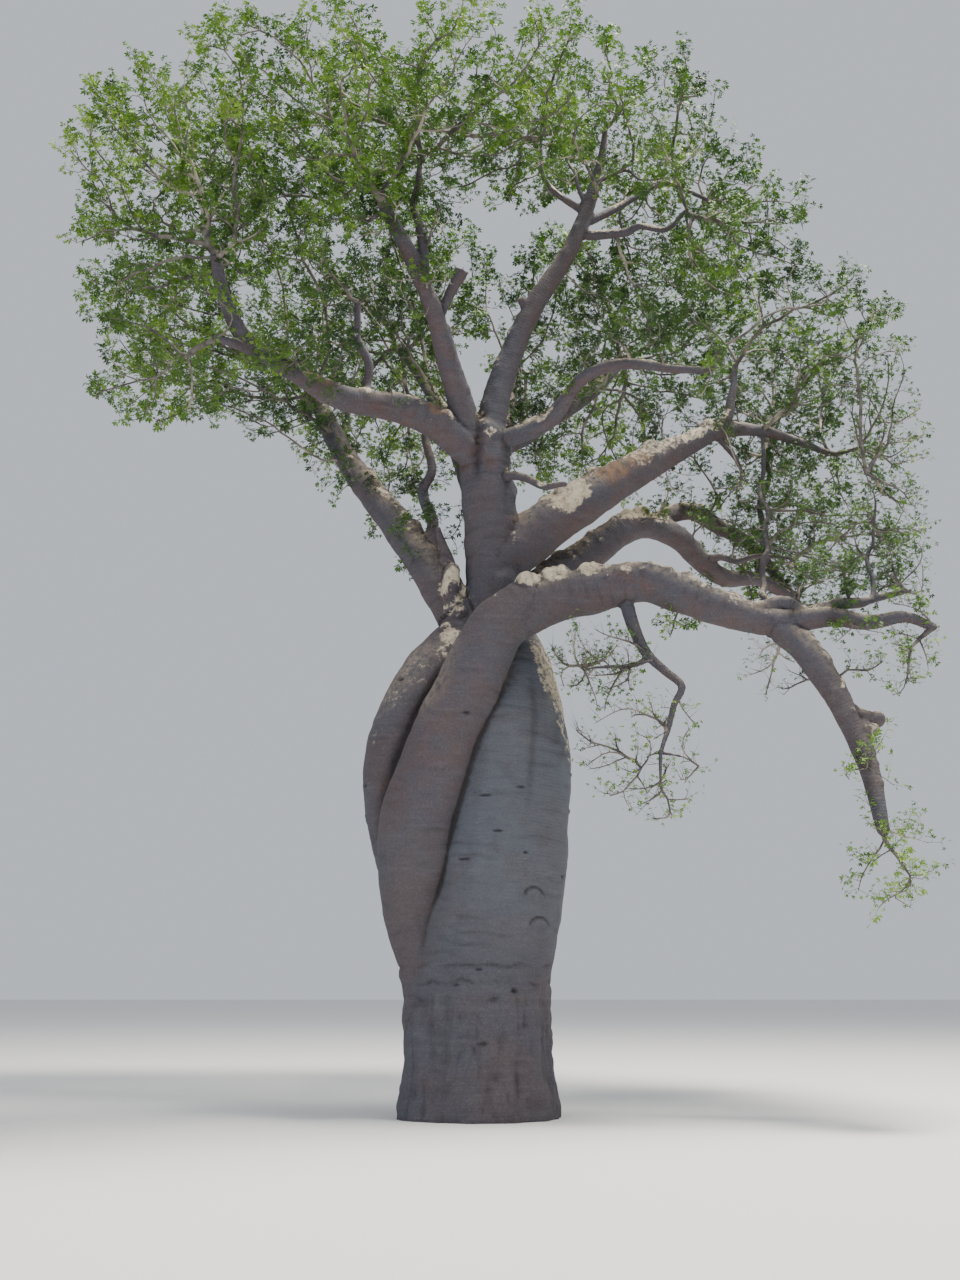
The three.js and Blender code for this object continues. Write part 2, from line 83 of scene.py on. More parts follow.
# Every bough: the places that its middle passes, and its radii at even shares of its length.
BOUGHS = {
    "central_stem": ([(0.28, 0.3, 6.8), (0.2, 0.3, 7.8), (0.12, 0.2, 8.7), (0.03, 0.08, 9.6)], (0.43, 0.38)),
    "lower_right_bough": (
        [(0.4, -0.62, 6.68), (1.12, -0.6, 6.97), (1.68, -0.6, 7.08), (2.28, -0.65, 7.19), (2.79, -0.7, 7.0),
         (3.32, -0.8, 6.76), (3.84, -0.9, 6.56), (4.15, -0.98, 6.48)], (0.38, 0.2)),
    "lower_right_bough_tip": (
        [(4.15, -0.98, 6.48), (4.76, -1.1, 6.55), (5.27, -1.2, 6.45), (5.71, -1.3, 6.5), (6.05, -1.4, 6.33)],
        (0.17, 0.06)),
    "drooping_bough": (
        [(4.05, -0.95, 6.48), (4.39, -1.1, 6.09), (4.8, -1.3, 5.27), (5.03, -1.5, 4.46), (5.12, -1.68, 3.6)],
        (0.2, 0.19, 0.165, 0.135, 0.09)),
    "hanging_branch": (
        [(2.02, -0.62, 6.95), (2.16, -0.7, 6.43), (2.3, -0.8, 6.09), (2.52, -0.9, 5.84), (2.73, -1.0, 5.6),
         (2.62, -1.0, 5.38), (2.53, -1.0, 5.05), (2.4, -1.1, 4.67), (2.38, -1.1, 4.3)],
        (0.11, 0.08, 0.06, 0.042, 0.025)),
    "middle_right_bough": (
        [(0.45, 0.5, 7.0), (1.21, 0.9, 7.75), (1.69, 1.1, 8.14), (2.18, 1.3, 8.57), (2.6, 1.5, 8.74),
         (3.1, 1.7, 8.62), (3.51, 1.9, 8.29), (3.89, 2.1, 8.06), (4.56, 2.4, 8.1), (5.21, 2.7, 7.79)],
        (0.35, 0.08)),
    "rear_right_bough": (
        [(2.6, 1.55, 8.74), (3.38, 1.95, 9.13), (3.92, 2.3, 8.96), (4.46, 2.6, 8.76), (5.32, 3.2, 7.92)],
        (0.17, 0.07)),
    "upper_right_bough": (
        [(0.3, 0.28, 7.75), (1.01, 0.35, 8.35), (1.88, 0.45, 8.97), (3.06, 0.6, 9.68), (3.67, 0.7, 9.99),
         (4.4, 0.92, 10.08), (5.56, 1.4, 9.9)], (0.39, 0.36, 0.225, 0.1, 0.05)),
    "inner_right_bough": (
        [(0.15, 0.05, 9.55), (0.72, -0.2, 9.62), (1.05, -0.4, 9.74), (1.44, -0.8, 10.15),
         (1.8, -1.0, 10.27), (2.22, -1.3, 10.18), (2.63, -1.6, 9.97), (3.14, -1.9, 9.8)], (0.14, 0.05)),
    "centre_right_bough": (
        [(0.1, 0.08, 9.5), (0.3, 0.05, 10.46), (0.76, -0.05, 11.6), (1.41, -0.15, 12.67),
         (1.85, -0.3, 13.97), (1.95, -0.4, 14.6)], (0.25, 0.185, 0.145, 0.115, 0.04)),
    "centre_right_bough_left_fork": (
        [(1.55, -0.2, 13.25), (1.1, -0.3, 13.55), (0.96, -0.4, 13.74), (0.93, -0.5, 14.3)], (0.065, 0.03)),
    "centre_right_bough_right_fork": (
        [(1.62, -0.16, 13.05), (2.14, 0.0, 13.42), (2.58, 0.1, 13.76), (2.87, 0.2, 13.98), (3.6, 0.4, 13.8)],
        (0.075, 0.035)),
    "centre_left_bough": (
        [(-0.06, 0.0, 9.4), (-0.37, -0.4, 10.26), (-0.7, -1.2, 11.15), (-0.96, -1.6, 11.66),
         (-1.35, -1.9, 12.3)], (0.25, 0.18, 0.15, 0.125, 0.09)),
    "broken_stub": (
        [(-0.64, -0.95, 10.95), (-0.42, -1.1, 11.4), (-0.26, -1.2, 11.7)], (0.085, 0.075, 0.08, 0.115)),
    "upper_left_bough": (
        [(-0.05, 0.0, 9.3), (-0.63, -0.3, 9.69), (-1.09, -0.5, 9.83), (-2.05, -1.1, 9.8),
         (-2.91, -1.6, 10.13), (-3.6, -2.0, 10.25)], (0.27, 0.23, 0.185, 0.14, 0.05)),
    "upper_left_bough_upturn": (
        [(-3.15, -1.75, 10.15), (-3.4, -1.9, 10.58), (-3.54, -2.0, 10.95), (-3.63, -2.1, 11.4)],
        (0.13, 0.08)),
    "lower_left_bough": (
        [(-0.24, 0.34, 6.75), (-0.64, 0.52, 7.54), (-1.31, 1.1, 8.64), (-2.14, 1.9, 9.95),
         (-2.76, 2.6, 11.3)], (0.33, 0.14)),
    "rear_left_bough": (
        [(0.08, 0.4, 7.9), (-0.1, 1.2, 9.1), (-0.45, 2.2, 10.5), (-1.0, 3.2, 12.0), (-1.4, 3.8, 12.8)],
        (0.2, 0.1)),
    "rear_centre_bough": (
        [(0.12, 0.2, 9.1), (0.28, 1.2, 10.1), (0.45, 2.3, 11.1), (0.6, 3.3, 12.2)], (0.21, 0.1)),
    "rear_right_upper_bough": (
        [(0.12, 0.1, 9.4), (0.95, 1.3, 10.35), (1.9, 2.6, 11.5), (2.5, 3.6, 12.5)], (0.2, 0.1)),
}

# Side branches thick enough to be part of the bark skin, but too small for a solid.
SIDE_BRANCHES = {
    "lower_left_upright": (
        [(-0.5, 0.55, 7.5), (-0.66, 0.72, 7.93), (-0.73, 0.75, 8.33), (-0.76, 0.75, 8.89),
         (-0.82, 0.8, 9.49), (-0.87, 0.8, 9.95)], (0.12, 0.06)),
    "lower_left_pale_stub": ([(-0.38, 0.25, 6.75), (-0.4, 0.2, 7.15), (-0.4, 0.2, 7.6)], (0.17, 0.13)),
    "lower_left_pale_tip": ([(-0.38, 0.2, 7.5), (-0.5, 0.22, 7.9), (-0.62, 0.22, 8.2)], (0.1, 0.05)),
    "central_stem_stub": (
        [(0.2, 0.1, 9.0), (0.58, -0.25, 8.9), (0.87, -0.4, 8.71), (1.24, -0.5, 8.66)], (0.08, 0.045)),
    "lower_right_upper_tip": (
        [(3.7, -0.9, 6.66), (4.1, -0.98, 6.75), (4.6, -1.0, 6.72), (5.07, -1.0, 6.78), (5.45, -1.0, 6.79),
         (5.79, -1.0, 6.95)], (0.13, 0.045)),
    "middle_right_upright": (
        [(4.5, 2.35, 8.1), (4.64, 2.3, 8.5), (4.67, 2.25, 9.23), (4.68, 2.2, 10.06)], (0.07, 0.04)),
    "lower_right_upright": (
        [(4.0, -0.8, 6.7), (4.14, 0.0, 7.2), (4.28, 0.5, 8.1), (4.35, 0.8, 9.1), (4.41, 0.9, 10.0)],
        (0.06, 0.035)),
    "lower_right_tip_upright": (
        [(5.38, -1.0, 6.79), (5.48, -0.85, 7.4), (5.48, -0.8, 8.04), (5.52, -0.7, 8.7)], (0.045, 0.02)),
    "middle_right_level": ([(3.5, 1.85, 8.3), (4.1, 1.75, 8.28), (4.96, 1.6, 8.25)], (0.07, 0.03)),
    "upper_right_upright": ([(3.67, 0.7, 9.99), (3.82, 0.62, 10.25), (3.96, 0.6, 10.95)], (0.1, 0.05)),
    "upper_right_falling": ([(3.6, 0.7, 9.95), (3.8, 0.75, 9.75), (4.0, 0.7, 9.35)], (0.06, 0.03)),
    "upper_left_upright": ([(-1.6, -0.82, 9.8), (-1.68, -0.95, 10.4), (-1.75, -1.2, 11.2)], (0.08, 0.05)),
    "centre_left_upright": (
        [(-0.76, -1.35, 11.3), (-0.82, -1.6, 11.86), (-0.87, -1.7, 12.51), (-0.91, -1.8, 13.25)],
        (0.09, 0.04)),
    "centre_right_level_fork": (
        [(1.6, -0.14, 12.86), (1.95, -0.25, 12.8), (2.42, -0.42, 12.8), (2.8, -0.53, 12.78),
         (3.09, -0.6, 12.95)], (0.085, 0.035)),
    "centre_right_curved_twig": (
        [(1.75, -0.32, 13.64), (2.16, -0.4, 13.75), (2.44, -0.45, 13.64), (2.71, -0.5, 13.61),
         (3.0, -0.55, 13.7)], (0.04, 0.02)),
    "centre_right_left_twig": (
        [(1.6, -0.25, 13.35), (1.42, -0.2, 13.91), (1.36, -0.15, 14.45), (1.3, -0.1, 14.8)], (0.045, 0.02)),
    "centre_right_knot": ([(0.72, -0.05, 11.62), (0.61, -0.17, 11.79)], (0.08, 0.06)),
    "drooping_burl": ([(4.82, -1.3, 5.25), (5.0, -1.33, 5.13), (5.22, -1.36, 5.1)], (0.13, 0.12, 0.07)),
    "hanging_left_twig": (
        [(2.28, -0.75, 6.02), (1.97, -0.8, 5.91), (1.58, -0.9, 5.89), (1.29, -1.0, 5.95)], (0.045, 0.018)),
    "hanging_foot_left": ([(2.43, -1.0, 4.72), (2.19, -1.1, 4.62), (2.11, -1.15, 4.45)], (0.03, 0.015)),
    "hanging_foot_right": ([(2.41, -1.0, 4.7), (2.67, -1.0, 4.65), (2.85, -1.0, 4.52)], (0.03, 0.015)),
}

# The bark skin: its voxels, the steps along its limbs, the sides of their tubes, and how they are smoothed.
VOXEL = 0.028
SPINE_STEP = 0.1
SKIN_SIDES = 20
SMOOTHING = 0.5
SMOOTH_ROUNDS = 4
JOINT_ROUNDS = 36
JOINT_WIDTH = 0.45
CAVITY_ROUNDS = 6
# The angles of the rings that round off the end of a tube.
CAP_ANGLES = (30, 60, 80)
# How far a side branch wobbles, and the share of the skin's faces that stays.
WOBBLE = 0.12
KEPT_SHARE = 0.42
FLAT_ENDS = {"broken_stub", "centre_right_knot"}
# How many places are compared with the limbs at a time.
BLOCK = 4000
# The pieces that the bark skin is parted into, and how the names of their limbs start.
BARK_PIECES = {
    "trunk": ("trunk",), "central_stem": ("central_stem",),
    "lower_right": ("lower_right", "drooping", "hanging"),
    "middle_right": ("middle_right", "rear_right_bough"), "upper_right": ("upper_right", "inner_right"),
    "centre_right": ("centre_right",), "centre_left": ("centre_left", "broken_stub"),
    "upper_left": ("upper_left",), "lower_left": ("lower_left",),
    "rear": ("rear_left", "rear_centre", "rear_right_upper"),
}
# The trunk is one piece up to this height and another above it.
FOOT_HEIGHT = 3.2

FRONT = np.array([0.0, -1.0, 0.0])
# Lens-shaped scars of lost branches on the trunk's front: x, z, half width and half height.
SCARS = [
    (0.08, 4.16, 0.1, 0.022), (0.55, 4.28, 0.07, 0.018), (-0.19, 5.26, 0.08, 0.035),
    (-0.22, 3.32, 0.09, 0.02), (0.25, 3.68, 0.075, 0.02), (0.05, 0.97, 0.07, 0.04), (0.0, 1.9, 0.06, 0.03),
    (-0.3, 1.7, 0.05, 0.03), (0.45, 1.62, 0.06, 0.04), (0.6, 3.4, 0.04, 0.015),
]
# More scars all round: their number, the heights that they lie between, and their half widths and heights.
RANDOM_SCARS = 26
SCARRED = (1.0, 6.2)
SCAR_WIDTHS = (0.05, 0.09)
SCAR_HEIGHTS = (0.018, 0.035)
# Round scars on the right of the trunk's front, each a low ring under a sunken arc darkened with painted
# shade: x, z and radius.
RING_SCARS = [(0.72, 2.82, 0.12), (0.78, 2.43, 0.12)]
# Creases round the waist: height and strength.
WAIST_CREASES = ((1.94, 1.0), (1.72, 0.8), (1.5, 0.5), (1.15, 0.5))
# Rounded knobs on the limbs: their middle and radius.
KNOBS = [
    ((0.66, -0.76, 7.17), 0.19), ((0.95, -0.73, 7.24), 0.15), ((1.15, -0.7, 7.28), 0.13),
    ((1.5, -0.72, 7.3), 0.14), ((1.65, -0.72, 7.32), 0.09), ((5.22, -1.38, 5.05), 0.13),
    ((5.02, -1.42, 4.86), 0.12), ((2.9, -0.7, 7.25), 0.12), ((2.6, 0.5, 9.6), 0.13),
    ((3.5, 0.7, 10.2), 0.14), ((2.51, 1.35, 9.0), 0.14), ((2.3, 1.25, 8.86), 0.1),
    ((1.24, 0.2, 8.85), 0.12), ((1.7, 0.35, 9.2), 0.13), ((-0.45, 0.05, 6.6), 0.1),
    ((-0.3, -0.05, 6.95), 0.12), ((5.1, -1.4, 4.98), 0.15), ((1.28, -0.2, 4.52), 0.05),
    ((1.24, -0.15, 4.01), 0.05), ((-0.48, 0.2, 7.75), 0.1), ((-0.3, 0.2, 7.3), 0.12),
]
RANDOM_KNOBS = 190
RANDOM_KNOB_SIZES = (0.05, 0.14)
# Pale patches, partly peeled or dead bark and partly painted sunlight on the tops of the boughs: middle,
# radius and strength.
PALE_PATCHES = [
    ((1.3, 0.1, 8.78), 0.5, 1.25), ((2.5, 0.35, 9.5), 0.45, 0.55), ((3.1, 0.5, 9.85), 0.5, 0.62),
    ((3.7, 0.6, 10.1), 0.35, 0.55), ((0.68, -0.8, 7.18), 0.24, 1.1), ((1.02, -0.78, 7.28), 0.22, 1.0),
    ((1.55, -0.75, 7.35), 0.2, 0.9), ((2.6, -0.65, 7.4), 0.4, 0.6), ((-0.42, 0.0, 7.35), 0.36, 1.15),
    ((-0.42, 0.05, 7.05), 0.25, 0.55), ((0.95, -0.4, 9.8), 0.28, 0.7), ((-0.1, -0.25, 10.15), 0.18, 0.45),
    ((0.16, -0.3, 9.6), 0.15, 0.5), ((0.45, 0.0, 9.1), 0.2, 0.5), ((1.95, -0.2, 12.9), 0.35, 0.8),
    ((2.6, -0.45, 12.85), 0.3, 0.7), ((3.0, 0.1, 13.85), 0.45, 1.0), ((1.2, -0.3, 13.6), 0.25, 0.7),
    ((2.1, 0.0, 13.45), 0.25, 0.6), ((-0.4, -0.15, 6.48), 0.22, 0.75), ((-0.5, -0.22, 6.25), 0.2, 0.42),
    ((-0.85, -0.3, 5.95), 0.35, 0.22), ((-1.15, -0.3, 5.6), 0.35, 0.24), ((-1.4, -0.15, 5.1), 0.4, 0.27),
    ((2.3, 1.2, 8.95), 0.35, 0.75), ((2.75, 1.45, 8.85), 0.3, 0.6), ((0.9, -0.5, 8.75), 0.2, 0.9),
    ((3.5, -0.85, 6.8), 0.3, 0.5),
]
# A pale strip over the right stem's shoulder, partly pale bark and partly painted sunlight: z, the x of its
# inner edge, and its strength.
SHOULDER_STRIP = [
    (4.45, 1.2, 0.0), (4.7, 1.15, 0.44), (5.14, 1.09, 0.42), (5.43, 0.97, 0.52), (5.64, 0.87, 0.62),
    (6.0, 0.76, 0.6), (6.35, 0.68, 0.58), (6.6, 0.66, 0.0),
]
# Red-brown patches: middle, radius and strength.
WARM_PATCHES = [
    ((2.0, -0.9, 7.15), 0.32, 1), ((2.5, 1.2, 8.9), 0.35, 1), ((0.1, -0.1, 9.3), 0.4, 1),
    ((-1.2, -0.7, 9.75), 0.4, 1), ((0.6, 0.0, 8.2), 0.3, 1),
]
# Patches that are stained with rust: middle, radius and strength.
RUST_PATCHES = [
    ((1.95, 0.12, 9.15), 0.36, 1), ((2.35, 0.3, 9.42), 0.25, 1), ((2.75, 1.25, 9.0), 0.3, 1),
    ((-2.3, -1.35, 9.95), 0.25, 1), ((-0.6, -0.5, 9.9), 0.2, 1),
]
# The steps between the rings round a limb and between the fine ring lines, and the colours of the bark.
RING_GAP = 0.19
RING_LINE_GAP = 0.047
BARK_GREY = (0.064, 0.063, 0.081)
BARK_BROWN = (0.075, 0.06, 0.067)
# Painted bluish skylight on the shaded right stem.
BARK_SKYLIT = (0.093, 0.109, 0.137)
# Red-brown, also used as painted warm shade under the boughs.
BARK_RED = (0.11, 0.05, 0.042)
BARK_RUST = (0.27, 0.15, 0.075)
# Pale cream, partly used as painted sunlight.
BARK_PALE = (0.66, 0.57, 0.42)
BARK_LIGHT = (0.146, 0.148, 0.162)
# Tan: for the pale patches, and for painted sunlight on the upper sides.
BARK_TAN = (0.335, 0.27, 0.195)
# The dark is for grain, and in grooves and hollows for painted shade.
BARK_DARK = (0.016, 0.012, 0.014)

# Foliage: the gap between twig ends and the share of leaves that stays, unless a mass has its own.
USUAL_MASS = (0.3, 1)
# Twig ends stay this far inside the surface of a mass.
INSET = 0.05
# Masses that show more twigs than leaves: their gap and share.
TWIGGY = {
    "far_right_foliage": (0.26, 0.4), "right_middle_foliage": (0.26, 0.46),
    "lower_right_foliage": (0.25, 0.4), "between_right_boughs_foliage": (0.27, 0.6),
    "lower_right_hanging_foliage": (0.22, 0.3), "drooping_tip_foliage": (0.24, 0.6),
    "hanging_tip_foliage": (0.21, 0.25), "hanging_branch_foliage": (0.2, 0.2),
    "rear_right_outer_foliage": (0.28, 0.75), "right_outer_foliage": (0.28, 0.8),
    "top_centre_right_foliage": (0.3, 0.88), "top_right_foliage": (0.3, 0.9),
    "summit_right_foliage": (0.3, 0.9),
}
# Clumps: how wide they are, and the share of leaves that stays where the foliage is thinnest.
CLUMP_WIDTH = 1.1
THINNEST = 0.84
# Thin sprays outside the masses: middle, half size, gap and share.
AIRY = [
    ((1.6, -0.9, 5.95), (0.75, 0.5, 0.5), 0.17, 0.15), ((2.1, -1.0, 4.9), (0.95, 0.5, 0.75), 0.21, 0.18),
    ((2.75, -0.55, 6.55), (0.35, 0.3, 0.3), 0.2, 0.8), ((5.0, 1.6, 9.4), (0.9, 0.9, 0.7), 0.26, 0.9),
    ((5.4, 1.0, 8.2), (1.1, 1.2, 0.6), 0.26, 0.5), ((4.3, 0.6, 8.6), (0.8, 1.0, 0.6), 0.28, 0.5),
    ((4.05, -0.9, 5.85), (0.45, 0.3, 0.5), 0.16, 0.1), ((5.3, -1.1, 7.4), (0.7, 0.5, 0.6), 0.26, 0.4),
    ((5.5, -1.2, 5.9), (0.6, 0.4, 0.5), 0.26, 0.4), ((3.2, 1.2, 9.2), (0.7, 0.5, 0.3), 0.26, 0.6),
    ((5.3, 2.75, 7.85), (0.85, 0.7, 0.7), 0.25, 0.5), ((5.2, 3.3, 8.2), (0.8, 0.7, 0.6), 0.26, 0.6),
    ((4.3, 2.5, 8.6), (0.8, 0.6, 0.5), 0.27, 0.6), ((-2.4, -2.1, 9.95), (0.8, 0.4, 0.55), 0.27, 0.9),
    ((-1.25, -2.3, 12.2), (0.6, 0.4, 0.5), 0.27, 1.0), ((5.9, -0.3, 9.4), (0.5, 0.6, 0.7), 0.24, 0.45),
    ((5.95, -0.3, 8.3), (0.5, 0.6, 0.6), 0.24, 0.45), ((5.9, -0.6, 7.2), (0.5, 0.5, 0.5), 0.25, 0.4),
]
# Boughs that small leafy shoots grow on and how far along these start, then their gap, share and reach.
LEAFY_BOUGHS = {
    "upper_left_bough": 0.45, "upper_left_bough_upturn": 0.0, "lower_left_bough": 0.3,
    "lower_left_upright": 0.2, "centre_left_bough": 0.6, "centre_left_upright": 0.1,
    "upper_left_upright": 0.3, "centre_right_bough": 0.75, "upper_right_bough": 0.6,
    "inner_right_bough": 0.3, "middle_right_bough": 0.5, "rear_right_bough": 0.3, "rear_left_bough": 0.3,
    "rear_centre_bough": 0.3, "rear_right_upper_bough": 0.3, "lower_right_bough_tip": 0.5,
    "lower_right_upper_tip": 0.4, "drooping_bough": 0.7,
}
BESIDE_GAP = 0.07
BESIDE_SHARE = 0.85
BESIDE_REACH = (0.2, 0.6)
# They point away from a place this far below them.
BESIDE_DROP = (0, 0, 0.4)
# Limbs that no twigs start from.
BARE_LIMBS = FLAT_ENDS | {"lower_left_pale_stub", "lower_left_pale_tip", "drooping_burl"}

# Twigs start on a limb from a share of its length on, at even steps, and rather at its end than beside it.
SEEDS_FROM = 0.35
STEM_SEEDS_FROM = 0.95
SEED_STEP = 0.45
END_FAVOUR = 0.55
# They grow in steps, wander, rise and keep some of their heading, unless they are pulled apart.
TWIG_STEP = 0.14
WANDER = 0.16
RISE = (0, 0, 0.1)
HEADING_KEPT = 0.45
TORN_PULL = 0.3
REACHED = 0.2
MOST_STEPS = 120
# Targets that no twig gets nearer to by this much in this many steps are given up.
PROGRESS = 0.02
PATIENCE = 12
# Twigs are evened out, and are as thick as what they carry asks for.
BEND_ROUNDS = 2
TIP_RADIUS = 0.0055
PIPE_POWER = 2.25
# The number of sides of twigs that are thicker than a radius.
TWIG_SIDES = ((0.04, 8), (0.02, 6), (0.01, 5), (0.0065, 4), (0, 3))
SHOOT_RADIUS = 0.0045
SHOOT_LENGTHS = (0.14, 0.34)
SHOOTS_PER_TIP = 2
LEAVES_PER_SHOOT = 8
# Leaves are turned round the shoot by this from one to the next, in radians.
LEAF_TURN = 2.4
STALK_ANGLES = (30, 80)
STALK_LENGTHS = (0.03, 0.08)
STALK_HALF_WIDTH = 0.003
LEAFLET_LENGTH = 0.076
LEAF_SIZES = (0.7, 1.25)
LEAFLET_WIDTH = 0.4
# A leaf's leaflets: the way that each points, in degrees, and its length as a share of the longest.
LEAFLETS = ((-98, 0.68), (-50, 0.92), (0, 1), (50, 0.92), (98, 0.68))
# Leaflets with a smaller share than this are single triangles.
SMALL_LEAFLET = 0.8
MOST_TRIANGLES = 190000
# Leaf colours from the darkest to the lightest, lit and shaded copies of one green, and the scores between
# them that deal them out.
LEAF_TINTS = {
    "dark": (0.022, 0.056, 0.012), "deep": (0.041, 0.1, 0.013), "mid": (0.07, 0.152, 0.015),
    "fresh": (0.117, 0.23, 0.02), "light": (0.195, 0.32, 0.035),
}
TINT_BOUNDS = (-0.5, -0.15, 0.15, 0.5)
# Leaves are lighter the further out they are in this crown, as painted sunlight outside and painted shade
# within.
CROWN_MIDDLE = (0.0, 0.4, 10.5)
CROWN_HALF = (6.3, 5.2, 5.0)
# The colours of the twigs.
TWIG_DARK = (0.062, 0.054, 0.052)
TWIG_LIGHT = (0.18, 0.157, 0.138)
TWIG_BLEACHED = (0.4, 0.35, 0.29)

# The stage, and the camera where the photographer stood, with its tilt in degrees.
FLOOR_HALF = 200
FLOOR_COLOUR = (0.78, 0.77, 0.75, 1)
SKY_COLOUR = (0.86, 0.91, 1.0, 1)
SKY_STRENGTH = 0.7
# The lamps: place, width, power and colour, and the place that they face.
LAMPS = {
    "key": ((9, -2, 32), 8, 24000, (1.0, 0.95, 0.86)),
    "fill": ((-12, -20, 12), 12, 1200, (0.95, 0.97, 1.0)),
}
LAMPS_FACE = (0, 0, 8)
CAMERA_PLACE = (0.0, -19.6, 1.65)
CAMERA_TILT = 13.9
# The focal length and the height of the frame in pixels, and the same height on the sensor in millimetres.
FOCAL_PIXELS = 1408
FRAME_PIXELS = 1280
SENSOR = 36.0
# The camera sees this far, in metres.
FARTHEST = 500


def unit(vectors):
    """Vectors with a length of one."""
    return vectors / np.maximum(np.linalg.norm(vectors, axis=-1, keepdims=True), 1e-9)


def smoothstep(low, high, value):
    """0 below low, 1 above high, and smooth between."""
    t = np.clip((value - low) / (high - low), 0, 1)
    return t * t * (3 - 2 * t)


def ridge(value, width):
    """1 where a value is 0, falling smoothly to both sides."""
    return np.exp(-(value / width) ** 2)


def distance_to(places, middle):
    """How far each place is from a middle."""
    return np.linalg.norm(places - np.asarray(middle), axis=1)


CORNERS = list(itertools.product((0, 1), repeat=3))
GRADIENTS = unit(np.random.default_rng(3).normal(size=(256, 3)))
HASH_PRIMES = np.array([73856093, 19349663, 83492791])
SEED_PRIME = 2654435


def noise(points, seed=0):
    """Smooth noise from about -1 to 1 at each point, with lumps about one unit wide."""
    cell = np.floor(points).astype(np.int64)
    part = points - cell
    fade = part ** 3 * (part * (part * 6 - 15) + 10)
    total = np.zeros(len(points))
    for corner in CORNERS:
        hashed = np.bitwise_xor.reduce((cell + corner) * HASH_PRIMES, axis=1) ^ (seed * SEED_PRIME)
        gradient = GRADIENTS[(hashed ^ (hashed >> 13)) & 255]
        weight = np.prod(np.where(np.array(corner) == 1, fade, 1 - fade), axis=1)
        total += weight * np.einsum("ij,ij->i", gradient, part - corner)
    return total * 1.7


def curve(places, spacing):
    """Points along a smooth curve through some places, and the station that each is at."""
    p = np.asarray(places, float)
    p = np.vstack([2 * p[0] - p[1], p, 2 * p[-1] - p[-2]])
    points, stations = [], []
    for i in range(1, len(p) - 2):
        a, b, c, d = p[i - 1:i + 3]
        t = np.cumsum([0] + [math.sqrt(np.linalg.norm(v)) for v in (b - a, c - b, d - c)])
        count = max(2, math.ceil(np.linalg.norm(c - b) / spacing))
        share = np.arange(count) / count
        u = (t[1] + (t[2] - t[1]) * share)[:, None]

        def between(first, second, low, high):
            return (first * (t[high] - u) + second * (u - t[low])) / (t[high] - t[low])

        ab, bc, cd = between(a, b, 0, 1), between(b, c, 1, 2), between(c, d, 2, 3)
        points.append(between(between(ab, bc, 0, 2), between(bc, cd, 1, 3), 1, 2))
        stations.append(i - 1 + share)
    points.append(p[-2:-1])
    stations.append([len(p) - 3])
    return np.concatenate(points), np.concatenate(stations)


def frames(points):
    """Tangents and two cross directions along a line, turned as little as can be from point to point."""
    tangents = unit(np.gradient(points, axis=0))
    side = np.cross(tangents[0], (0.0, 1.0, 0.0) if abs(tangents[0][1]) < 0.8 else (1.0, 0.0, 0.0))
    sides = []
    for tangent in tangents:
        side = side - tangent * side.dot(tangent)
        side = side / np.linalg.norm(side)
        sides.append(side)
    sides = np.array(sides)
    return tangents, sides, np.cross(tangents, sides)


def lengths_along(points):
    """The length of a line up to each of its points."""
    return np.concatenate([[0], np.cumsum(np.linalg.norm(np.diff(points, axis=0), axis=1))])


def stem_spine(stations):
    """Middle points and radii along a stem of the trunk, with its root flare."""
    stations = np.array(stations)
    points, at = curve(stations[:, :3], SPINE_STEP)
    radii = np.interp(at, np.arange(len(stations)), stations[:, 3])
    flare = np.clip(1 - points[:, 2] / FLARE_HEIGHT, 0, 1)
    return points, radii + FLARE_REACH * flare ** 2


def bough_spine(places, sizes, wobble=0.0):
    """Middle points and radii along a tapering bough, which may wobble once it is clear of its start."""
    points, _ = curve(places, SPINE_STEP)
    along = lengths_along(points)
    sway = np.stack([noise(points * 1.9, seed) for seed in (21, 22, 23)], axis=1)
    sway *= wobble * smoothstep(0.1, 0.6, along)[:, None]
    return points + sway, np.interp(along / along[-1], np.linspace(0, 1, len(sizes)), sizes)


# Every limb that the bark skin covers: its name, its middle points and its radii.
LIMBS = [(f"trunk_{name}", *stem_spine(stations)) for name, stations in STEMS.items()]
LIMBS += [(name, *bough_spine(*bough)) for name, bough in BOUGHS.items()]
LIMBS += [(name, *bough_spine(*branch, WOBBLE)) for name, branch in SIDE_BRANCHES.items()]


def with_settings(thing, **settings):
    """A modifier, node, lamp, camera or object with its settings."""
    for name, value in settings.items():
        setattr(thing, name, value)
    return thing


def add_object(name, data):
    """A mesh, lamp or camera as an object in the scene."""
    piece = bpy.data.objects.new(name, data)
    bpy.context.scene.collection.objects.link(piece)
    return piece


def mesh_object(name, vertices, faces, smooth=False):
    """An object from arrays or lists of vertices and faces."""
    vertices, faces = (rows.tolist() if isinstance(rows, np.ndarray) else rows for rows in (vertices, faces))
    mesh = bpy.data.meshes.new(name)
    mesh.from_pydata(vertices, [], faces, shade_flat=not smooth)
    mesh.validate()
    return add_object(name, mesh)


def read(rows, name, width=1, kind=float):
    """What a mesh holds under a name in each of its rows, as an array."""
    values = np.empty(len(rows) * width, kind)
    rows.foreach_get(name, values)
    return values.reshape(-1, width) if width > 1 else values


def write_field(mesh, name, values):
    """Keeps a number for each vertex of a mesh."""
    mesh.attributes.new(name, "FLOAT", "POINT").data.foreach_set("value", values.astype(np.float32))


def move_vertices(mesh, places):
    """Moves the vertices of a mesh, and returns the normals that it has then."""
    mesh.vertices.foreach_set("co", places.ravel())
    mesh.update()
    return read(mesh.vertex_normals, "vector", 3)


def applied(piece):
    """The mesh of an object after its modifiers."""
    return bpy.data.meshes.new_from_object(piece.evaluated_get(bpy.context.evaluated_depsgraph_get()))


def place_piece(piece, material, nodes=()):
    """Gives a piece its material and its body, and hides the nodes that it replaces."""
    piece.data.materials.append(material)
    if nodes:
        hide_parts(*nodes)
    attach(piece, "root")


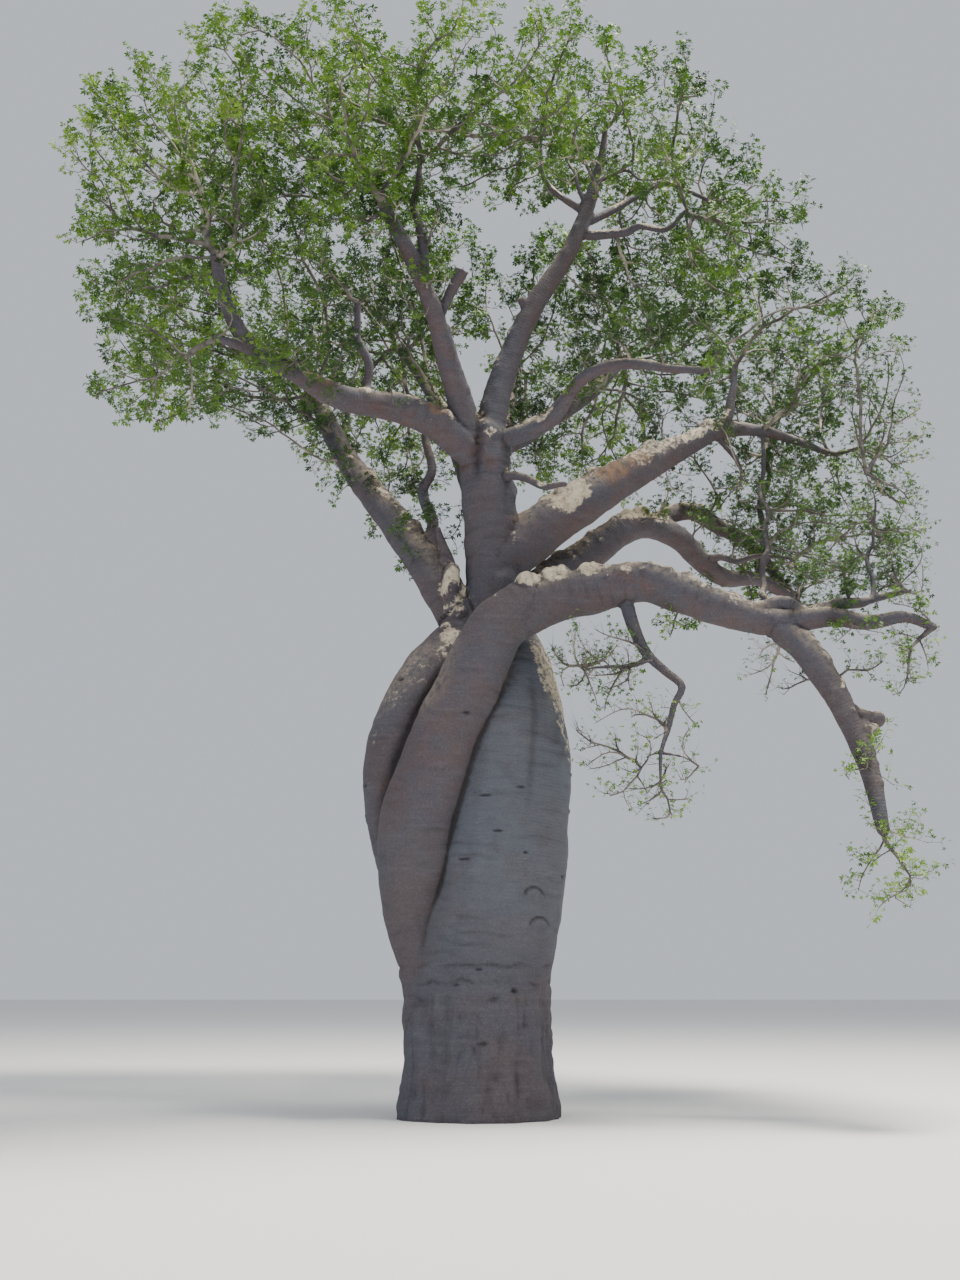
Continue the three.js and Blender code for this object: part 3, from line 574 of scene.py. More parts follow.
def rings(points, radii, across, over, sides):
    """The vertices of a tube's rings, and the four-cornered faces between them."""
    turn = 2 * np.pi * np.arange(sides) / sides
    ring = np.cos(turn)[None, :, None] * across[:, None] + np.sin(turn)[None, :, None] * over[:, None]
    vertices = (points[:, None] + radii[:, None, None] * ring).reshape(-1, 3)
    i, j = (at.ravel() for at in np.indices((len(points) - 1, sides)))
    near, far, after = i * sides, (i + 1) * sides, (j + 1) % sides
    return vertices, np.stack([near + j, near + after, far + after, far + j], axis=1)


def tube(points, radii, sides, rounded):
    """Vertices and faces of a closed tube. A rounded end goes on a little past the last point."""
    tangents, across, over = frames(points)
    if rounded:
        angles = np.radians(CAP_ANGLES)
        points = np.vstack([points, points[-1] + tangents[-1] * (radii[-1] * np.sin(angles))[:, None]])
        radii = np.concatenate([radii, radii[-1] * np.cos(angles)])
        across, over = (np.vstack([rows, rows[[-1] * len(angles)]]) for rows in (across, over))
    vertices, quads = rings(points, radii, across, over, sides)
    last = (len(points) - 1) * sides
    return vertices, [*map(tuple, quads), tuple(range(sides))[::-1], tuple(range(last, last + sides))]


def open_tube(points, radii, sides):
    """Vertices and triangles of a tube that closes to a point at its end."""
    across, over = (rows[:-1] for rows in frames(points)[1:])
    vertices, quads = rings(points[:-1], radii[:-1], across, over, sides)
    last = (len(points) - 2) * sides
    j = np.arange(sides)
    cone = np.stack([last + j, last + (j + 1) % sides, np.full(sides, last + sides)], axis=1)
    return np.vstack([vertices, points[-1:]]), np.vstack([quads[:, :3], quads[:, [0, 2, 3]], cone])


def fused_skin():
    """One closed mesh over all the limbs, smoothed where they meet."""
    vertices, faces, start = [], [], 0
    for name, points, radii in LIMBS:
        part, part_faces = tube(points, radii, SKIN_SIDES, name not in FLAT_ENDS)
        vertices.append(part)
        faces += [tuple(start + k for k in face) for face in part_faces]
        start += len(part)
    skin = mesh_object("bark", np.concatenate(vertices), faces)
    with_settings(skin.modifiers.new("fuse", "REMESH"), mode="VOXEL", voxel_size=VOXEL)
    with_settings(skin.modifiers.new("smooth", "SMOOTH"), factor=SMOOTHING, iterations=SMOOTH_ROUNDS)
    fused = applied(skin)
    skin.modifiers.clear()
    skin.data = fused
    return skin


def nearest_on_limbs(places):
    """The limb nearest to each place, how far along, its radius, and how far off and turned the next is."""
    of_limbs = [
        (np.full(len(points), k), points.astype(np.float32), sizes.astype(np.float32), lengths_along(points),
         frames(points)[0]) for k, (_, points, sizes) in enumerate(LIMBS)]
    owners, spine, radii, along, tangents = (np.concatenate(rows) for rows in zip(*of_limbs))
    starts = np.flatnonzero(np.diff(owners, prepend=-1))
    best, apart, turned = np.empty(len(places), int), np.empty(len(places)), np.empty(len(places))
    for first in range(0, len(places), BLOCK):
        now = slice(first, first + BLOCK)
        block = places[now].astype(np.float32)
        rows = np.arange(len(block))
        gap = np.sqrt(((block[:, None] - spine) ** 2).sum(axis=2)) - radii
        least = np.minimum.reduceat(gap, starts, axis=1)
        nearest = gap.argmin(axis=1)
        least[rows, owners[nearest]] = np.inf
        second = np.where(owners == least.argmin(axis=1)[:, None], gap, np.inf).argmin(axis=1)
        best[now] = nearest
        apart[now] = gap[rows, second] - gap[rows, nearest]
        turned[now] = 1 - (unit(block - spine[nearest]) * unit(block - spine[second])).sum(axis=1)
    lengthwise = np.einsum("ij,ij->i", places - spine[best], tangents[best])
    return owners[best], along[best] + lengthwise, radii[best], apart, turned


def neighbours_mean(values, edges):
    """The mean of the places of each vertex's neighbours."""
    total = np.zeros(values.shape)
    for a, b in ((0, 1), (1, 0)):
        for axis in range(3):
            total[:, axis] += np.bincount(edges[:, a], values[edges[:, b], axis], minlength=len(values))
    return total / np.bincount(edges.ravel(), minlength=len(values))[:, None]


def soften_joints(places, edges, near):
    """The places of the skin with the creases where boughs meet rounded out."""
    _, _, radius, apart, _ = near
    weight = ridge(apart, JOINT_WIDTH * radius) * smoothstep(0.05, 0.14, radius)
    weight *= 0.5 * smoothstep(6.3, NECK_HEIGHT, places[:, 2])
    for _ in range(JOINT_ROUNDS):
        places = places + weight[:, None] * (neighbours_mean(places, edges) - places)
    return places


def cavity(places, edges, normals):
    """How deep each vertex lies in a crease: how far its wider neighbourhood is above it."""
    wide = places
    for _ in range(CAVITY_ROUNDS):
        wide = neighbours_mean(wide, edges)
    return smoothstep(0.0, 0.02, np.einsum("ij,ij->i", wide - places, normals))


def foot_relief(places, normals, trunk):
    """The upright folds of the foot under the creases of the waist: relief, creases and pinched folds."""
    x, y, height = places.T
    around = np.arctan2(y, x)
    girth = np.stack([np.cos(around) * 3.2, np.sin(around) * 3.2, height * 0.9], axis=1)
    foot = trunk * (1 - smoothstep(1.2, 2.0, height))
    folds = noise(girth, 8) + 0.6 * noise(girth * 2.3, 9)
    pinched = foot * ridge(noise(girth * 1.3, 18), 0.11) * smoothstep(-0.3, 0.3, noise(girth, 19))
    out = foot * (0.05 * folds + 0.025 * noise(places * 4.5, 10)) - 0.012 * pinched
    creases = np.zeros(len(places))
    middle_front = smoothstep(0.75, 0.4, np.abs(x - 0.12)) * (normals[:, 1] < -0.3)
    for number, (level, depth) in enumerate(WAIST_CREASES):
        line = level + 0.09 * noise(girth * 0.8 + 9 * number, 11) + 0.012 * noise(girth * 2, 12)
        patchy = smoothstep(-0.25, 0.4, noise(girth * 0.9 + 5 * number, 13))
        patchy = np.maximum(patchy, 0.8 * middle_front * (number == 0))
        out += 0.018 * trunk * depth * patchy * ridge(height - line + 0.1, 0.06)
        creases = np.maximum(creases, depth * patchy * ridge(height - line, 0.026))
    return out - 0.02 * trunk * creases, creases, pinched


def lens(places, normals, middle, facing, width, height):
    """The hollow and the raised rim of a lens-shaped scar round a place on the trunk."""
    offset = places - middle
    near = (np.abs(offset) < 3 * width).all(axis=1) & (normals @ facing > 0.3)
    hollow, rim = np.zeros(len(places)), np.zeros(len(places))
    u = offset[near] @ unit(np.cross(facing, (0, 0, 1.0))) / width
    v = offset[near, 2] / height
    reach = np.sqrt(u * u + v * v)
    hollow[near] = 1 - smoothstep(0.2, 1.1, reach)
    rim[near] = ridge(reach - 1.7, 0.5)
    return hollow, rim


def scar_relief(places, normals, trunk):
    """Scars on the front as in the photograph, and more all round: relief, hollows and the arcs that get
    painted shade.
    """
    x, y, height = places.T
    spots = []
    for scar_x, scar_z, width, tall in SCARS:
        close = np.abs(x - scar_x) + np.abs(height - scar_z) + 10 * (normals[:, 1] > -0.2)
        spots.append((places[close.argmin()], FRONT, width, tall))
    around = trunk & (height > SCARRED[0]) & (height < SCARRED[1]) & (y > -0.3)
    for index in rng.choice(np.flatnonzero(around), RANDOM_SCARS):
        facing = unit(normals[index] * np.array([1, 1, 0]))
        spots.append((places[index], facing, rng.uniform(*SCAR_WIDTHS), rng.uniform(*SCAR_HEIGHTS)))
    hollows, rims = (np.max(rows, axis=0) for rows in zip(*(lens(places, normals, *spot) for spot in spots)))
    out = -0.03 * hollows + 0.012 * rims
    arcs = np.zeros(len(places))
    facing_front = trunk * (normals[:, 1] < -0.2)
    for ring_x, ring_z, size in RING_SCARS:
        reach = np.hypot(x - ring_x, height - ring_z) / size
        arc = ridge(reach - 1.1, 0.16) * smoothstep(-0.2, 0.6, (height - ring_z) / size) * facing_front
        out += 0.02 * ridge(reach - 0.85, 0.3) * facing_front - 0.03 * arc
        arcs = np.maximum(arcs, arc)
    return out, hollows, arcs


def bump_at(places, middle, radius):
    """1 at the middle of a round bump, falling smoothly to 0 at its radius."""
    distance = distance_to(places, middle)
    return np.where(distance < radius, (1 - (distance / radius) ** 2) ** 2, 0)


def knob_relief(places, normals, trunk, radius):
    """Knobs, most of them on the upper sides of the boughs: relief, and where they are."""
    out, knobs = np.zeros(len(places)), np.zeros(len(places))
    for middle, size in KNOBS:
        bump = bump_at(places, places[distance_to(places, middle).argmin()], size * 1.05) ** 0.5
        knobs = np.maximum(knobs, bump)
        out += 0.7 * size * bump
    upper = np.flatnonzero(~trunk & (normals[:, 2] > 0.0) & (radius > 0.09))
    for index in rng.choice(upper, RANDOM_KNOBS):
        size = rng.uniform(*RANDOM_KNOB_SIZES) * min(1.0, radius[index] / 0.2)
        bump = bump_at(places, places[index], size * 1.3)
        knobs = np.maximum(knobs, bump)
        out += 0.35 * size * bump
    return out, knobs


def spotted(field, spots, places, uneven, low, high, where=1):
    """A field raised to the strength of each round spot inside its uneven edge."""
    for middle, size, strength in spots:
        spot = smoothstep(low, high, distance_to(places, middle) / size + uneven)
        field = np.maximum(field, strength * where * spot)
    return field


def upper_left(places):
    """1 on the upper left of the trunk, falling smoothly to 0 below it and to its right."""
    return smoothstep(-0.3, -0.6, places[:, 0]) * smoothstep(3.4, 4.2, places[:, 2])


def relief(places, normals, near):
    """How far the bark stands out at each place, how much painted shade its grooves, creases and hollows get,
    and where its knobs are.
    """
    owner, along, radius, apart, turned = near
    x, _, height = places.T
    _, backward, upward = normals.T
    trunk = owner < len(STEMS)

    # Lumps all over, ragged upper sides of the boughs, and seams between the stems.
    bough = smoothstep(6.4, 7.0, height) * ~trunk
    out = 0.02 * noise(places * 1.4, 1) * np.minimum(1, radius / 0.3)
    out += 0.013 * noise(places * 3.3, 2) * np.minimum(1, radius / 0.25)
    out += 0.005 * noise(places * 9.0, 3) * smoothstep(0.04, 0.15, radius)
    ragged = np.abs(noise(places * 5.5, 16)) + 0.5 * np.abs(noise(places * 11.0, 17))
    out += 0.025 * (ragged - 0.45) * bough * smoothstep(-0.3, 0.6, upward) * np.minimum(1, radius / 0.25)
    left = upper_left(places)
    seam = ridge(apart, 0.05 + 0.05 * trunk * left) * smoothstep(0.04, 0.35, turned)
    depth = np.where(trunk, (0.03 + 0.07 * left) * smoothstep(2.4, 3.2, height), 0.022)
    out -= seam * depth * np.minimum(1, radius / 0.2)

    # Rings round each limb: narrow hollows, broken round the limb.
    ring_at = along / RING_GAP + 0.6 * noise(places * 1.1, 4) + 0.25 * noise(places * 3.0, 5)
    broken = smoothstep(-0.1, 0.6, noise(places * np.array([1.6, 1.6, 4.0]), 6))
    ring_hollows = ridge(ring_at % 1 - 0.5, 0.13) * broken * smoothstep(0.1, 0.3, radius)
    out -= 0.005 * ring_hollows

    # A faint groove down the right of the front, and a valley down the central stem between two boughs, both
    # darkened with painted shade.
    groove_x = 0.62 + 0.12 * np.sin((height - 3.9) * 1.1)
    right_groove = ridge(x - groove_x, 0.05) * smoothstep(3.6, 4.6, height)
    right_groove *= (backward < -0.2) * (1 - smoothstep(5.6, 6.2, height)) * trunk
    valley = ridge(x - (-0.06 + 0.07 * (height - 9.0)), 0.065) * smoothstep(8.75, 9.15, height)
    valley *= (1 - smoothstep(9.9, 10.15, height)) * (backward < -0.1) * ~trunk
    foot_out, creases, pinched = foot_relief(places, normals, trunk)
    scar_out, hollows, arcs = scar_relief(places, normals, trunk)
    knob_out, knobs = knob_relief(places, normals, trunk, radius)
    out += foot_out + scar_out + knob_out - 0.016 * right_groove - 0.07 * valley
    # Painted shade in the ring hollows, waist creases, scar hollows, grooves, arcs, valley and pinched folds.
    groove = 0.4 * ring_hollows + 0.5 * trunk * creases + 0.7 * hollows + 0.4 * right_groove
    return out, np.clip(groove + 0.5 * arcs + 0.6 * valley + 0.2 * pinched, 0, 1), knobs


def colour_fields(places, normals, near, knobs):
    """Where the bark is pale, has painted sunlight or painted bluish skylight, is warm or painted with warm
    shade underneath, or is rusty.
    """
    owner, _, _, apart, _ = near
    x, y, height = places.T
    rightward, backward, upward = normals.T
    trunk = owner < len(STEMS)
    right_stem, crossing = (owner == list(STEMS).index(name) for name in ("right", "crossing"))

    # Pale patches, the pale shoulder of the right stem, and pale knobs; where they face up, and on the upper
    # sides of the boughs, the pale is partly painted sunlight.
    patches = noise(places * 1.9, 14) + 0.6 * noise(places * 5.0, 15)
    open_above = np.where(trunk, 1, smoothstep(-0.5, 0.15, upward + 0.3 * patches))
    pale = 0.6 * ~trunk * smoothstep(0.45, 1.05, upward + 0.4 * patches)
    pale = spotted(pale, PALE_PATCHES, places, 0.25 * patches, 1.0, 0.45, open_above)
    flank = trunk * smoothstep(0.5, 0.9, rightward) * smoothstep(3.7, 4.7, height)
    right_stem = right_stem * smoothstep(0.7, 0.1, y)
    heights, edges, strengths = zip(*SHOULDER_STRIP)
    inside = x - np.interp(height, heights, edges) + 0.07 * patches + 0.03 * noise(places * 14.0, 20)
    strip = right_stem * np.interp(height, heights, strengths) * smoothstep(-0.03, 0.07, inside)
    pale = np.maximum.reduce([pale, strip, 0.7 * knobs * smoothstep(-0.2, 0.5, upward)])

    # Painted sunlight: the upper sides of the boughs, the rim of the left stems, and the right shoulder.
    rim = trunk * smoothstep(0.1, 0.5, upward) * smoothstep(-0.1, -0.5, x)
    rim *= smoothstep(5.0, 5.6, height) * (1 - smoothstep(6.1, 6.7, height))
    shoulder = right_stem * flank * smoothstep(4.9, 6.0, height)
    painted_sun = ~trunk * smoothstep(0.1, 0.9, upward + 0.25 * patches)
    painted_sun = np.maximum.reduce([painted_sun, 0.6 * rim, 0.9 * shoulder])

    # Painted bluish skylight on the shaded right stem, the warm crossing stem, patches that are warm or
    # rusty, and painted warm shade under the boughs.
    # Painted bluish skylight, strongest on the right-facing flank.
    skylit = right_stem * smoothstep(1.6, 3.2, height) * (0.6 + 0.4 * flank)
    warm = crossing * smoothstep(3.4, 4.4, height) * (1 - 0.6 * smoothstep(5.4, 6.4, height))
    warm = np.maximum(warm, 1.6 * trunk * upper_left(places) * (backward < 0) * ridge(apart, 0.2))
    warm = spotted(warm, WARM_PATCHES, places, 0.25 * patches, 1.1, 0.5)
    # The undersides of the boughs get painted warm shade.
    warm = np.clip((0.8 - 0.4 * trunk) * warm + 0.6 * ~trunk * smoothstep(0.1, -0.6, upward), 0, 1)
    rust = spotted(np.zeros(len(places)), RUST_PATCHES, places, 0.3 * patches, 1.0, 0.5, open_above)
    return {"pale": pale, "warm": warm, "rust": rust, "skylit": skylit, "painted_sun": painted_sun}


def cut_at_ground(mesh):
    """Takes off what is below the ground and closes the cut with a flat face."""
    work = bmesh.new()
    work.from_mesh(mesh)
    whole = work.verts[:] + work.edges[:] + work.faces[:]
    cut = bmesh.ops.bisect_plane(work, geom=whole, plane_co=(0, 0, 0), plane_no=(0, 0, 1), clear_inner=True)
    bmesh.ops.contextual_create(work, geom=[e for e in cut["geom_cut"] if isinstance(e, bmesh.types.BMEdge)])
    bmesh.ops.triangulate(work, faces=[f for f in work.faces if len(f.verts) > 4])
    work.to_mesh(mesh)
    work.free()
    mesh.update()


def make_bark():
    """The bark skin with its relief, cut at the ground, thinned and parted into pieces along the creases."""
    skin = fused_skin()
    mesh = skin.data
    places, edges = read(mesh.vertices, "co", 3), read(mesh.edges, "vertices", 2, np.int32)
    near = nearest_on_limbs(places)
    owner, along = near[:2]
    places = soften_joints(places, edges, near)
    normals = move_vertices(mesh, places)
    out, groove, knobs = relief(places, normals, near)
    fields = colour_fields(places, normals, near, knobs)
    places = places + normals * out[:, None]
    normals = move_vertices(mesh, places)
    # Painted shade in creases: the carved grooves or the cavity, whichever is deeper.
    fields["groove"] = np.maximum(groove, cavity(places, edges, normals))
    fields["along"] = along
    for name, values in fields.items():
        write_field(mesh, name, values)
    starts = list(BARK_PIECES.values())
    piece_of_limb = [next(k for k, s in enumerate(starts) if name.startswith(s)) for name, _, _ in LIMBS]
    piece = np.array(piece_of_limb)[owner]
    piece[(piece == 0) & (places[:, 2] > FOOT_HEIGHT)] = len(starts)
    corners = read(mesh.loops, "vertex_index", 1, np.int32).reshape(-1, 4)
    mesh.polygons.foreach_set("material_index", piece[corners].max(axis=1).astype(np.int32))
    cut_at_ground(mesh)
    thin = skin.modifiers.new("thin", "DECIMATE")
    with_settings(thin, ratio=KEPT_SHARE, use_collapse_triangulate=True)
    whole = applied(skin)
    bpy.data.objects.remove(skin)
    part_bark(whole, list(fields))


def part_bark(whole, fields):
    """Parts the whole skin into pieces, each with the whole skin's normals and fields."""
    whole.polygons.foreach_set("use_smooth", np.ones(len(whole.polygons), bool))
    places, normals = read(whole.vertices, "co", 3), read(whole.vertex_normals, "vector", 3)
    corners = read(whole.loops, "vertex_index", 1, np.int32).reshape(-1, 3)
    which = read(whole.polygons, "material_index", 1, np.int32)
    values = {name: read(whole.attributes[name].data, "value", 1, np.float32) for name in fields}
    material = bark_material()
    for number, name in enumerate([*BARK_PIECES, "trunk_top"]):
        used, triangles = np.unique(corners[which == number], return_inverse=True)
        piece = mesh_object(f"bark_{name}", places[used], triangles.reshape(-1, 3), smooth=True)
        for field, value in values.items():
            write_field(piece.data, field, value[used])
        piece.data.normals_split_custom_set_from_vertices(normals[used])
        starts = BARK_PIECES.get(name, ("trunk",))
        place_piece(piece, material, [node for node in BARK_NODES if node.startswith(starts)])


def spaced_points(low, high, gap, inside):
    """Random places in a box that pass a test, none of them nearer to another than a gap."""
    low, high = np.array(low), np.array(high)
    tries = int(np.prod((high - low) / gap) * 6)
    kept = np.empty((0, 3))
    for place in rng.uniform(low, high, (tries, 3)):
        if len(kept) and ((kept - place) ** 2).sum(axis=1).min() < gap * gap:
            continue
        if inside(place):
            kept = np.vstack([kept, place])
    return kept


def points_inside(node, gap):
    """Places spread evenly inside a mass of foliage, a little way in from its surface."""
    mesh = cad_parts[node].data
    corners = [v.co.copy() for v in mesh.vertices]
    tree = BVHTree.FromPolygons(corners, [tuple(p.vertices) for p in mesh.polygons])

    def inside(place):
        found, normal, _, distance = tree.find_nearest(Vector(place))
        return (Vector(place) - found).dot(normal) < 0 and distance > INSET

    return spaced_points(*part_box(node), gap, inside)


def points_beside_boughs():
    """Places close round the leafy boughs, most of them above and towards the front."""
    found = []
    for name, points, radii in LIMBS:
        if name not in LEAFY_BOUGHS:
            continue
        along = lengths_along(points)
        first = LEAFY_BOUGHS[name] * along[-1]
        for _ in range(int((along[-1] - first) / BESIDE_GAP)):
            index = np.searchsorted(along, rng.uniform(first, along[-1])) - 1
            direction = unit(rng.normal(0, 1, 3) + np.array([0, -0.5, 0.4]))
            found.append(points[index] + direction * (radii[index] + rng.uniform(*BESIDE_REACH)))
    return np.array(found)


def find_targets():
    """The places that twigs grow to, the middles of their masses, and the shares of leaves that stay."""
    groups = []
    for node in FOLIAGE_NODES:
        gap, share = TWIGGY.get(node, USUAL_MASS)
        low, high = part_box(node)
        groups.append((points_inside(node, gap), (low + high) / 2, share))
    for middle, half, gap, share in AIRY:
        low, high = np.subtract(middle, half), np.add(middle, half)
        inside = spaced_points(low, high, gap, lambda p: (((p - middle) / half) ** 2).sum() < 1)
        groups.append((inside, middle, share))
    beside = points_beside_boughs()
    groups.append((beside, np.subtract(beside, BESIDE_DROP), BESIDE_SHARE))
    targets = np.concatenate([places for places, _, _ in groups])
    middles = np.concatenate([np.full(places.shape, middle) for places, middle, _ in groups])
    shares = np.repeat([share for _, _, share in groups], [len(places) for places, _, _ in groups])
    clumps = smoothstep(-0.5, 0.0, noise(targets / CLUMP_WIDTH, 33))
    return targets, middles, shares * (THINNEST + (1 - THINNEST) * clumps)


def seeds_on_limbs():
    """Places on the boughs that twigs can start from, how willingly they do, and the radius there."""
    places, eager, sizes = [], [], []
    for name, points, radii in LIMBS[len(STEMS):]:
        if name in BARE_LIMBS:
            continue
        along = lengths_along(points)
        first = STEM_SEEDS_FROM if name == "central_stem" else SEEDS_FROM
        count = max(2, int(along[-1] * (1 - first) / SEED_STEP))
        for share in np.linspace(first, 1, count):
            index = int(np.interp(share * along[-1], along, np.arange(len(points))))
            places.append(points[index])
            sizes.append(radii[index])
            eager.append(END_FAVOUR if share == 1 else 0.0)
    return np.array(places), np.array(eager), np.array(sizes)


def grow_towards(targets):
    """A branching skeleton that grows from the limbs until each target has a twig close to it."""
    seeds, eager, sizes = seeds_on_limbs()
    nodes, parents = [seeds], [np.full(len(seeds), -1)]
    headings = [np.zeros((len(seeds), 3))]
    nearest = (np.linalg.norm(targets[:, None] - seeds[None], axis=2) - eager).argmin(axis=1)
    least = np.linalg.norm(targets - seeds[nearest], axis=1)
    before = np.full(len(targets), np.inf)
    count = len(seeds)
    waiting = np.ones(len(targets), bool)
    for step in range(1, MOST_STEPS + 1):
        if not waiting.any():
            break
        places, headed = np.concatenate(nodes), np.concatenate(headings)
        growing, which = np.unique(nearest[waiting], return_inverse=True)
        pull = np.zeros((len(growing), 3))
        np.add.at(pull, which, unit(targets[waiting] - places[nearest[waiting]]))
        wander = rng.normal(0, WANDER, pull.shape) + RISE
        direction = unit(unit(pull) + HEADING_KEPT * headed[growing] + wander)
        asking = np.flatnonzero(waiting)
        # A node that two sets of targets pull apart heads for the nearest one of them instead.
        for k in np.flatnonzero(np.linalg.norm(pull, axis=1) < TORN_PULL):
            own = asking[which == k]
            direction[k] = unit(targets[own[least[own].argmin()]] - places[growing[k]])
        fresh = places[growing] + direction * TWIG_STEP
        nodes.append(fresh)
        parents.append(growing)
        headings.append(direction)
        gap = np.linalg.norm(targets[asking][:, None] - fresh[None], axis=2)
        closer = gap.min(axis=1) < least[asking]
        nearest[asking[closer]] = count + gap.argmin(axis=1)[closer]
        least[asking[closer]] = gap.min(axis=1)[closer]
        count += len(fresh)
        waiting &= least > REACHED
        if step % PATIENCE == 0:
            waiting &= least <= before - PROGRESS
            before = least.copy()
    return np.concatenate(nodes), np.concatenate(parents), nearest, sizes


def prune(nodes, parents, ends, seeds):
    """Leaves out twigs that lead to no target, and renumbers the rest."""
    used = np.zeros(len(nodes), bool)
    used[:seeds] = True
    for at in ends:
        while at >= 0 and not used[at]:
            used[at] = True
            at = parents[at]
    number = np.cumsum(used) - 1
    kept = np.flatnonzero(used)
    lead = np.where(parents[kept] >= 0, number[parents[kept]], -1)
    return nodes[kept], lead, number[ends]


def twig_radii(parents, tips, seeds, sizes):
    """Radii by the pipe rule: what a twig carries sets how thick it is."""
    load = np.zeros(len(parents))
    np.add.at(load, tips, TIP_RADIUS ** PIPE_POWER)
    for i in range(len(parents) - 1, seeds - 1, -1):
        load[i] = max(load[i], (0.7 * TIP_RADIUS) ** PIPE_POWER)
        if parents[i] >= 0:
            load[parents[i]] += load[i]
    radii = load ** (1 / PIPE_POWER)
    radii[:seeds] = np.minimum(radii[:seeds], sizes)
    return radii


def chains(parents, radii, seeds):
    """The skeleton as lines of nodes, each going on along its thickest child."""
    children = [[] for _ in parents]
    for child, parent in enumerate(parents):
        if parent >= 0:
            children[parent].append(child)
    lines, starts = [], [(s, c) for s in range(seeds) for c in children[s]]
    while starts:
        root, at = starts.pop()
        line = [root, at]
        while children[at]:
            ordered = sorted(children[at], key=lambda c: -radii[c])
            starts += [(at, other) for other in ordered[1:]]
            at = ordered[0]
            line.append(at)
        lines.append(line)
    return lines


def smooth_skeleton(nodes, parents, seeds):
    """Evens out the skeleton's bends without moving where it leaves the limbs."""
    inner = np.arange(seeds, len(nodes))
    for _ in range(BEND_ROUNDS):
        total = np.zeros_like(nodes)
        weight = np.zeros(len(nodes))
        np.add.at(total, parents[inner], nodes[inner])
        np.add.at(weight, parents[inner], 1)
        has_child = inner[weight[inner] > 0]
        mean = 0.5 * nodes[parents[has_child]] + 0.5 * total[has_child] / weight[has_child][:, None]
        moved = nodes.copy()
        moved[has_child] = 0.5 * nodes[has_child] + 0.5 * mean
        nodes = moved
    return nodes


def twig_mesh(nodes, parents, radii, seeds, sizes):
    """All the twigs as one mesh of tapering tubes."""
    vertices, triangles, start = [], [], 0
    for line in chains(parents, radii, seeds):
        points, thick = nodes[line], radii[line]
        thick[0] = min(thick[0], 1.25 * thick[1])
        if line[0] < seeds:
            thick[0] = min(sizes[line[0]], 1.6 * thick[1])
        if len(line) > 2:
            thick[1] = max(thick[1], 0.5 * (thick[0] + thick[2]))
        else:
            points = np.vstack([points[:1], points.mean(axis=0, keepdims=True), points[1:]])
            thick = thick[[0, 1, 1]]
        points = np.vstack([points, points[-1] + 0.5 * (points[-1] - points[-2])])
        sides = next(sides for least, sides in TWIG_SIDES if thick[1] > least)
        part, faces = open_tube(points, np.append(thick, 0), sides)
        vertices.append(part)
        triangles.append(faces + start)
        start += len(part)
    return np.concatenate(vertices), np.concatenate(triangles)


def place_shoots(nodes, parents, tips, outward):
    """Upright shoots from the twig ends: where each starts and ends."""
    lead = unit(nodes[tips] - nodes[np.maximum(parents[tips], 0)])
    starts, ends = [], []
    for number in range(SHOOTS_PER_TIP):
        spray = rng.normal(0, 0.45, lead.shape)
        direction = unit(0.6 * lead + spray + 0.3 * outward + np.array([0, 0, 0.75]))
        length = rng.uniform(*SHOOT_LENGTHS, len(tips))[:, None]
        back = rng.uniform(0.0, 0.12, len(tips))[:, None] * (number > 0)
        starts.append(nodes[tips] - lead * back)
        ends.append(starts[-1] + direction * length)
    return np.concatenate(starts), np.concatenate(ends)


def shoot_mesh(starts, ends):
    """Three-sided spikes from each start to its end."""
    along = unit(ends - starts)
    across = unit(np.cross(along, (0.3, 0.5, 0.8)))
    over = np.cross(along, across)
    vertices = np.empty((len(starts), 4, 3))
    for k, turn in enumerate((0, 2 * np.pi / 3, 4 * np.pi / 3)):
        vertices[:, k] = starts + SHOOT_RADIUS * (math.cos(turn) * across + math.sin(turn) * over)
    vertices[:, 3] = ends
    return vertices.reshape(-1, 3), repeated([[0, 1, 3], [1, 2, 3], [2, 0, 3]], 4, len(starts))


def repeated(corners, step, count):
    """The triangles of many copies of a part, whose vertices follow one another."""
    return (step * np.arange(count)[:, None, None] + np.array(corners)).reshape(-1, 3)


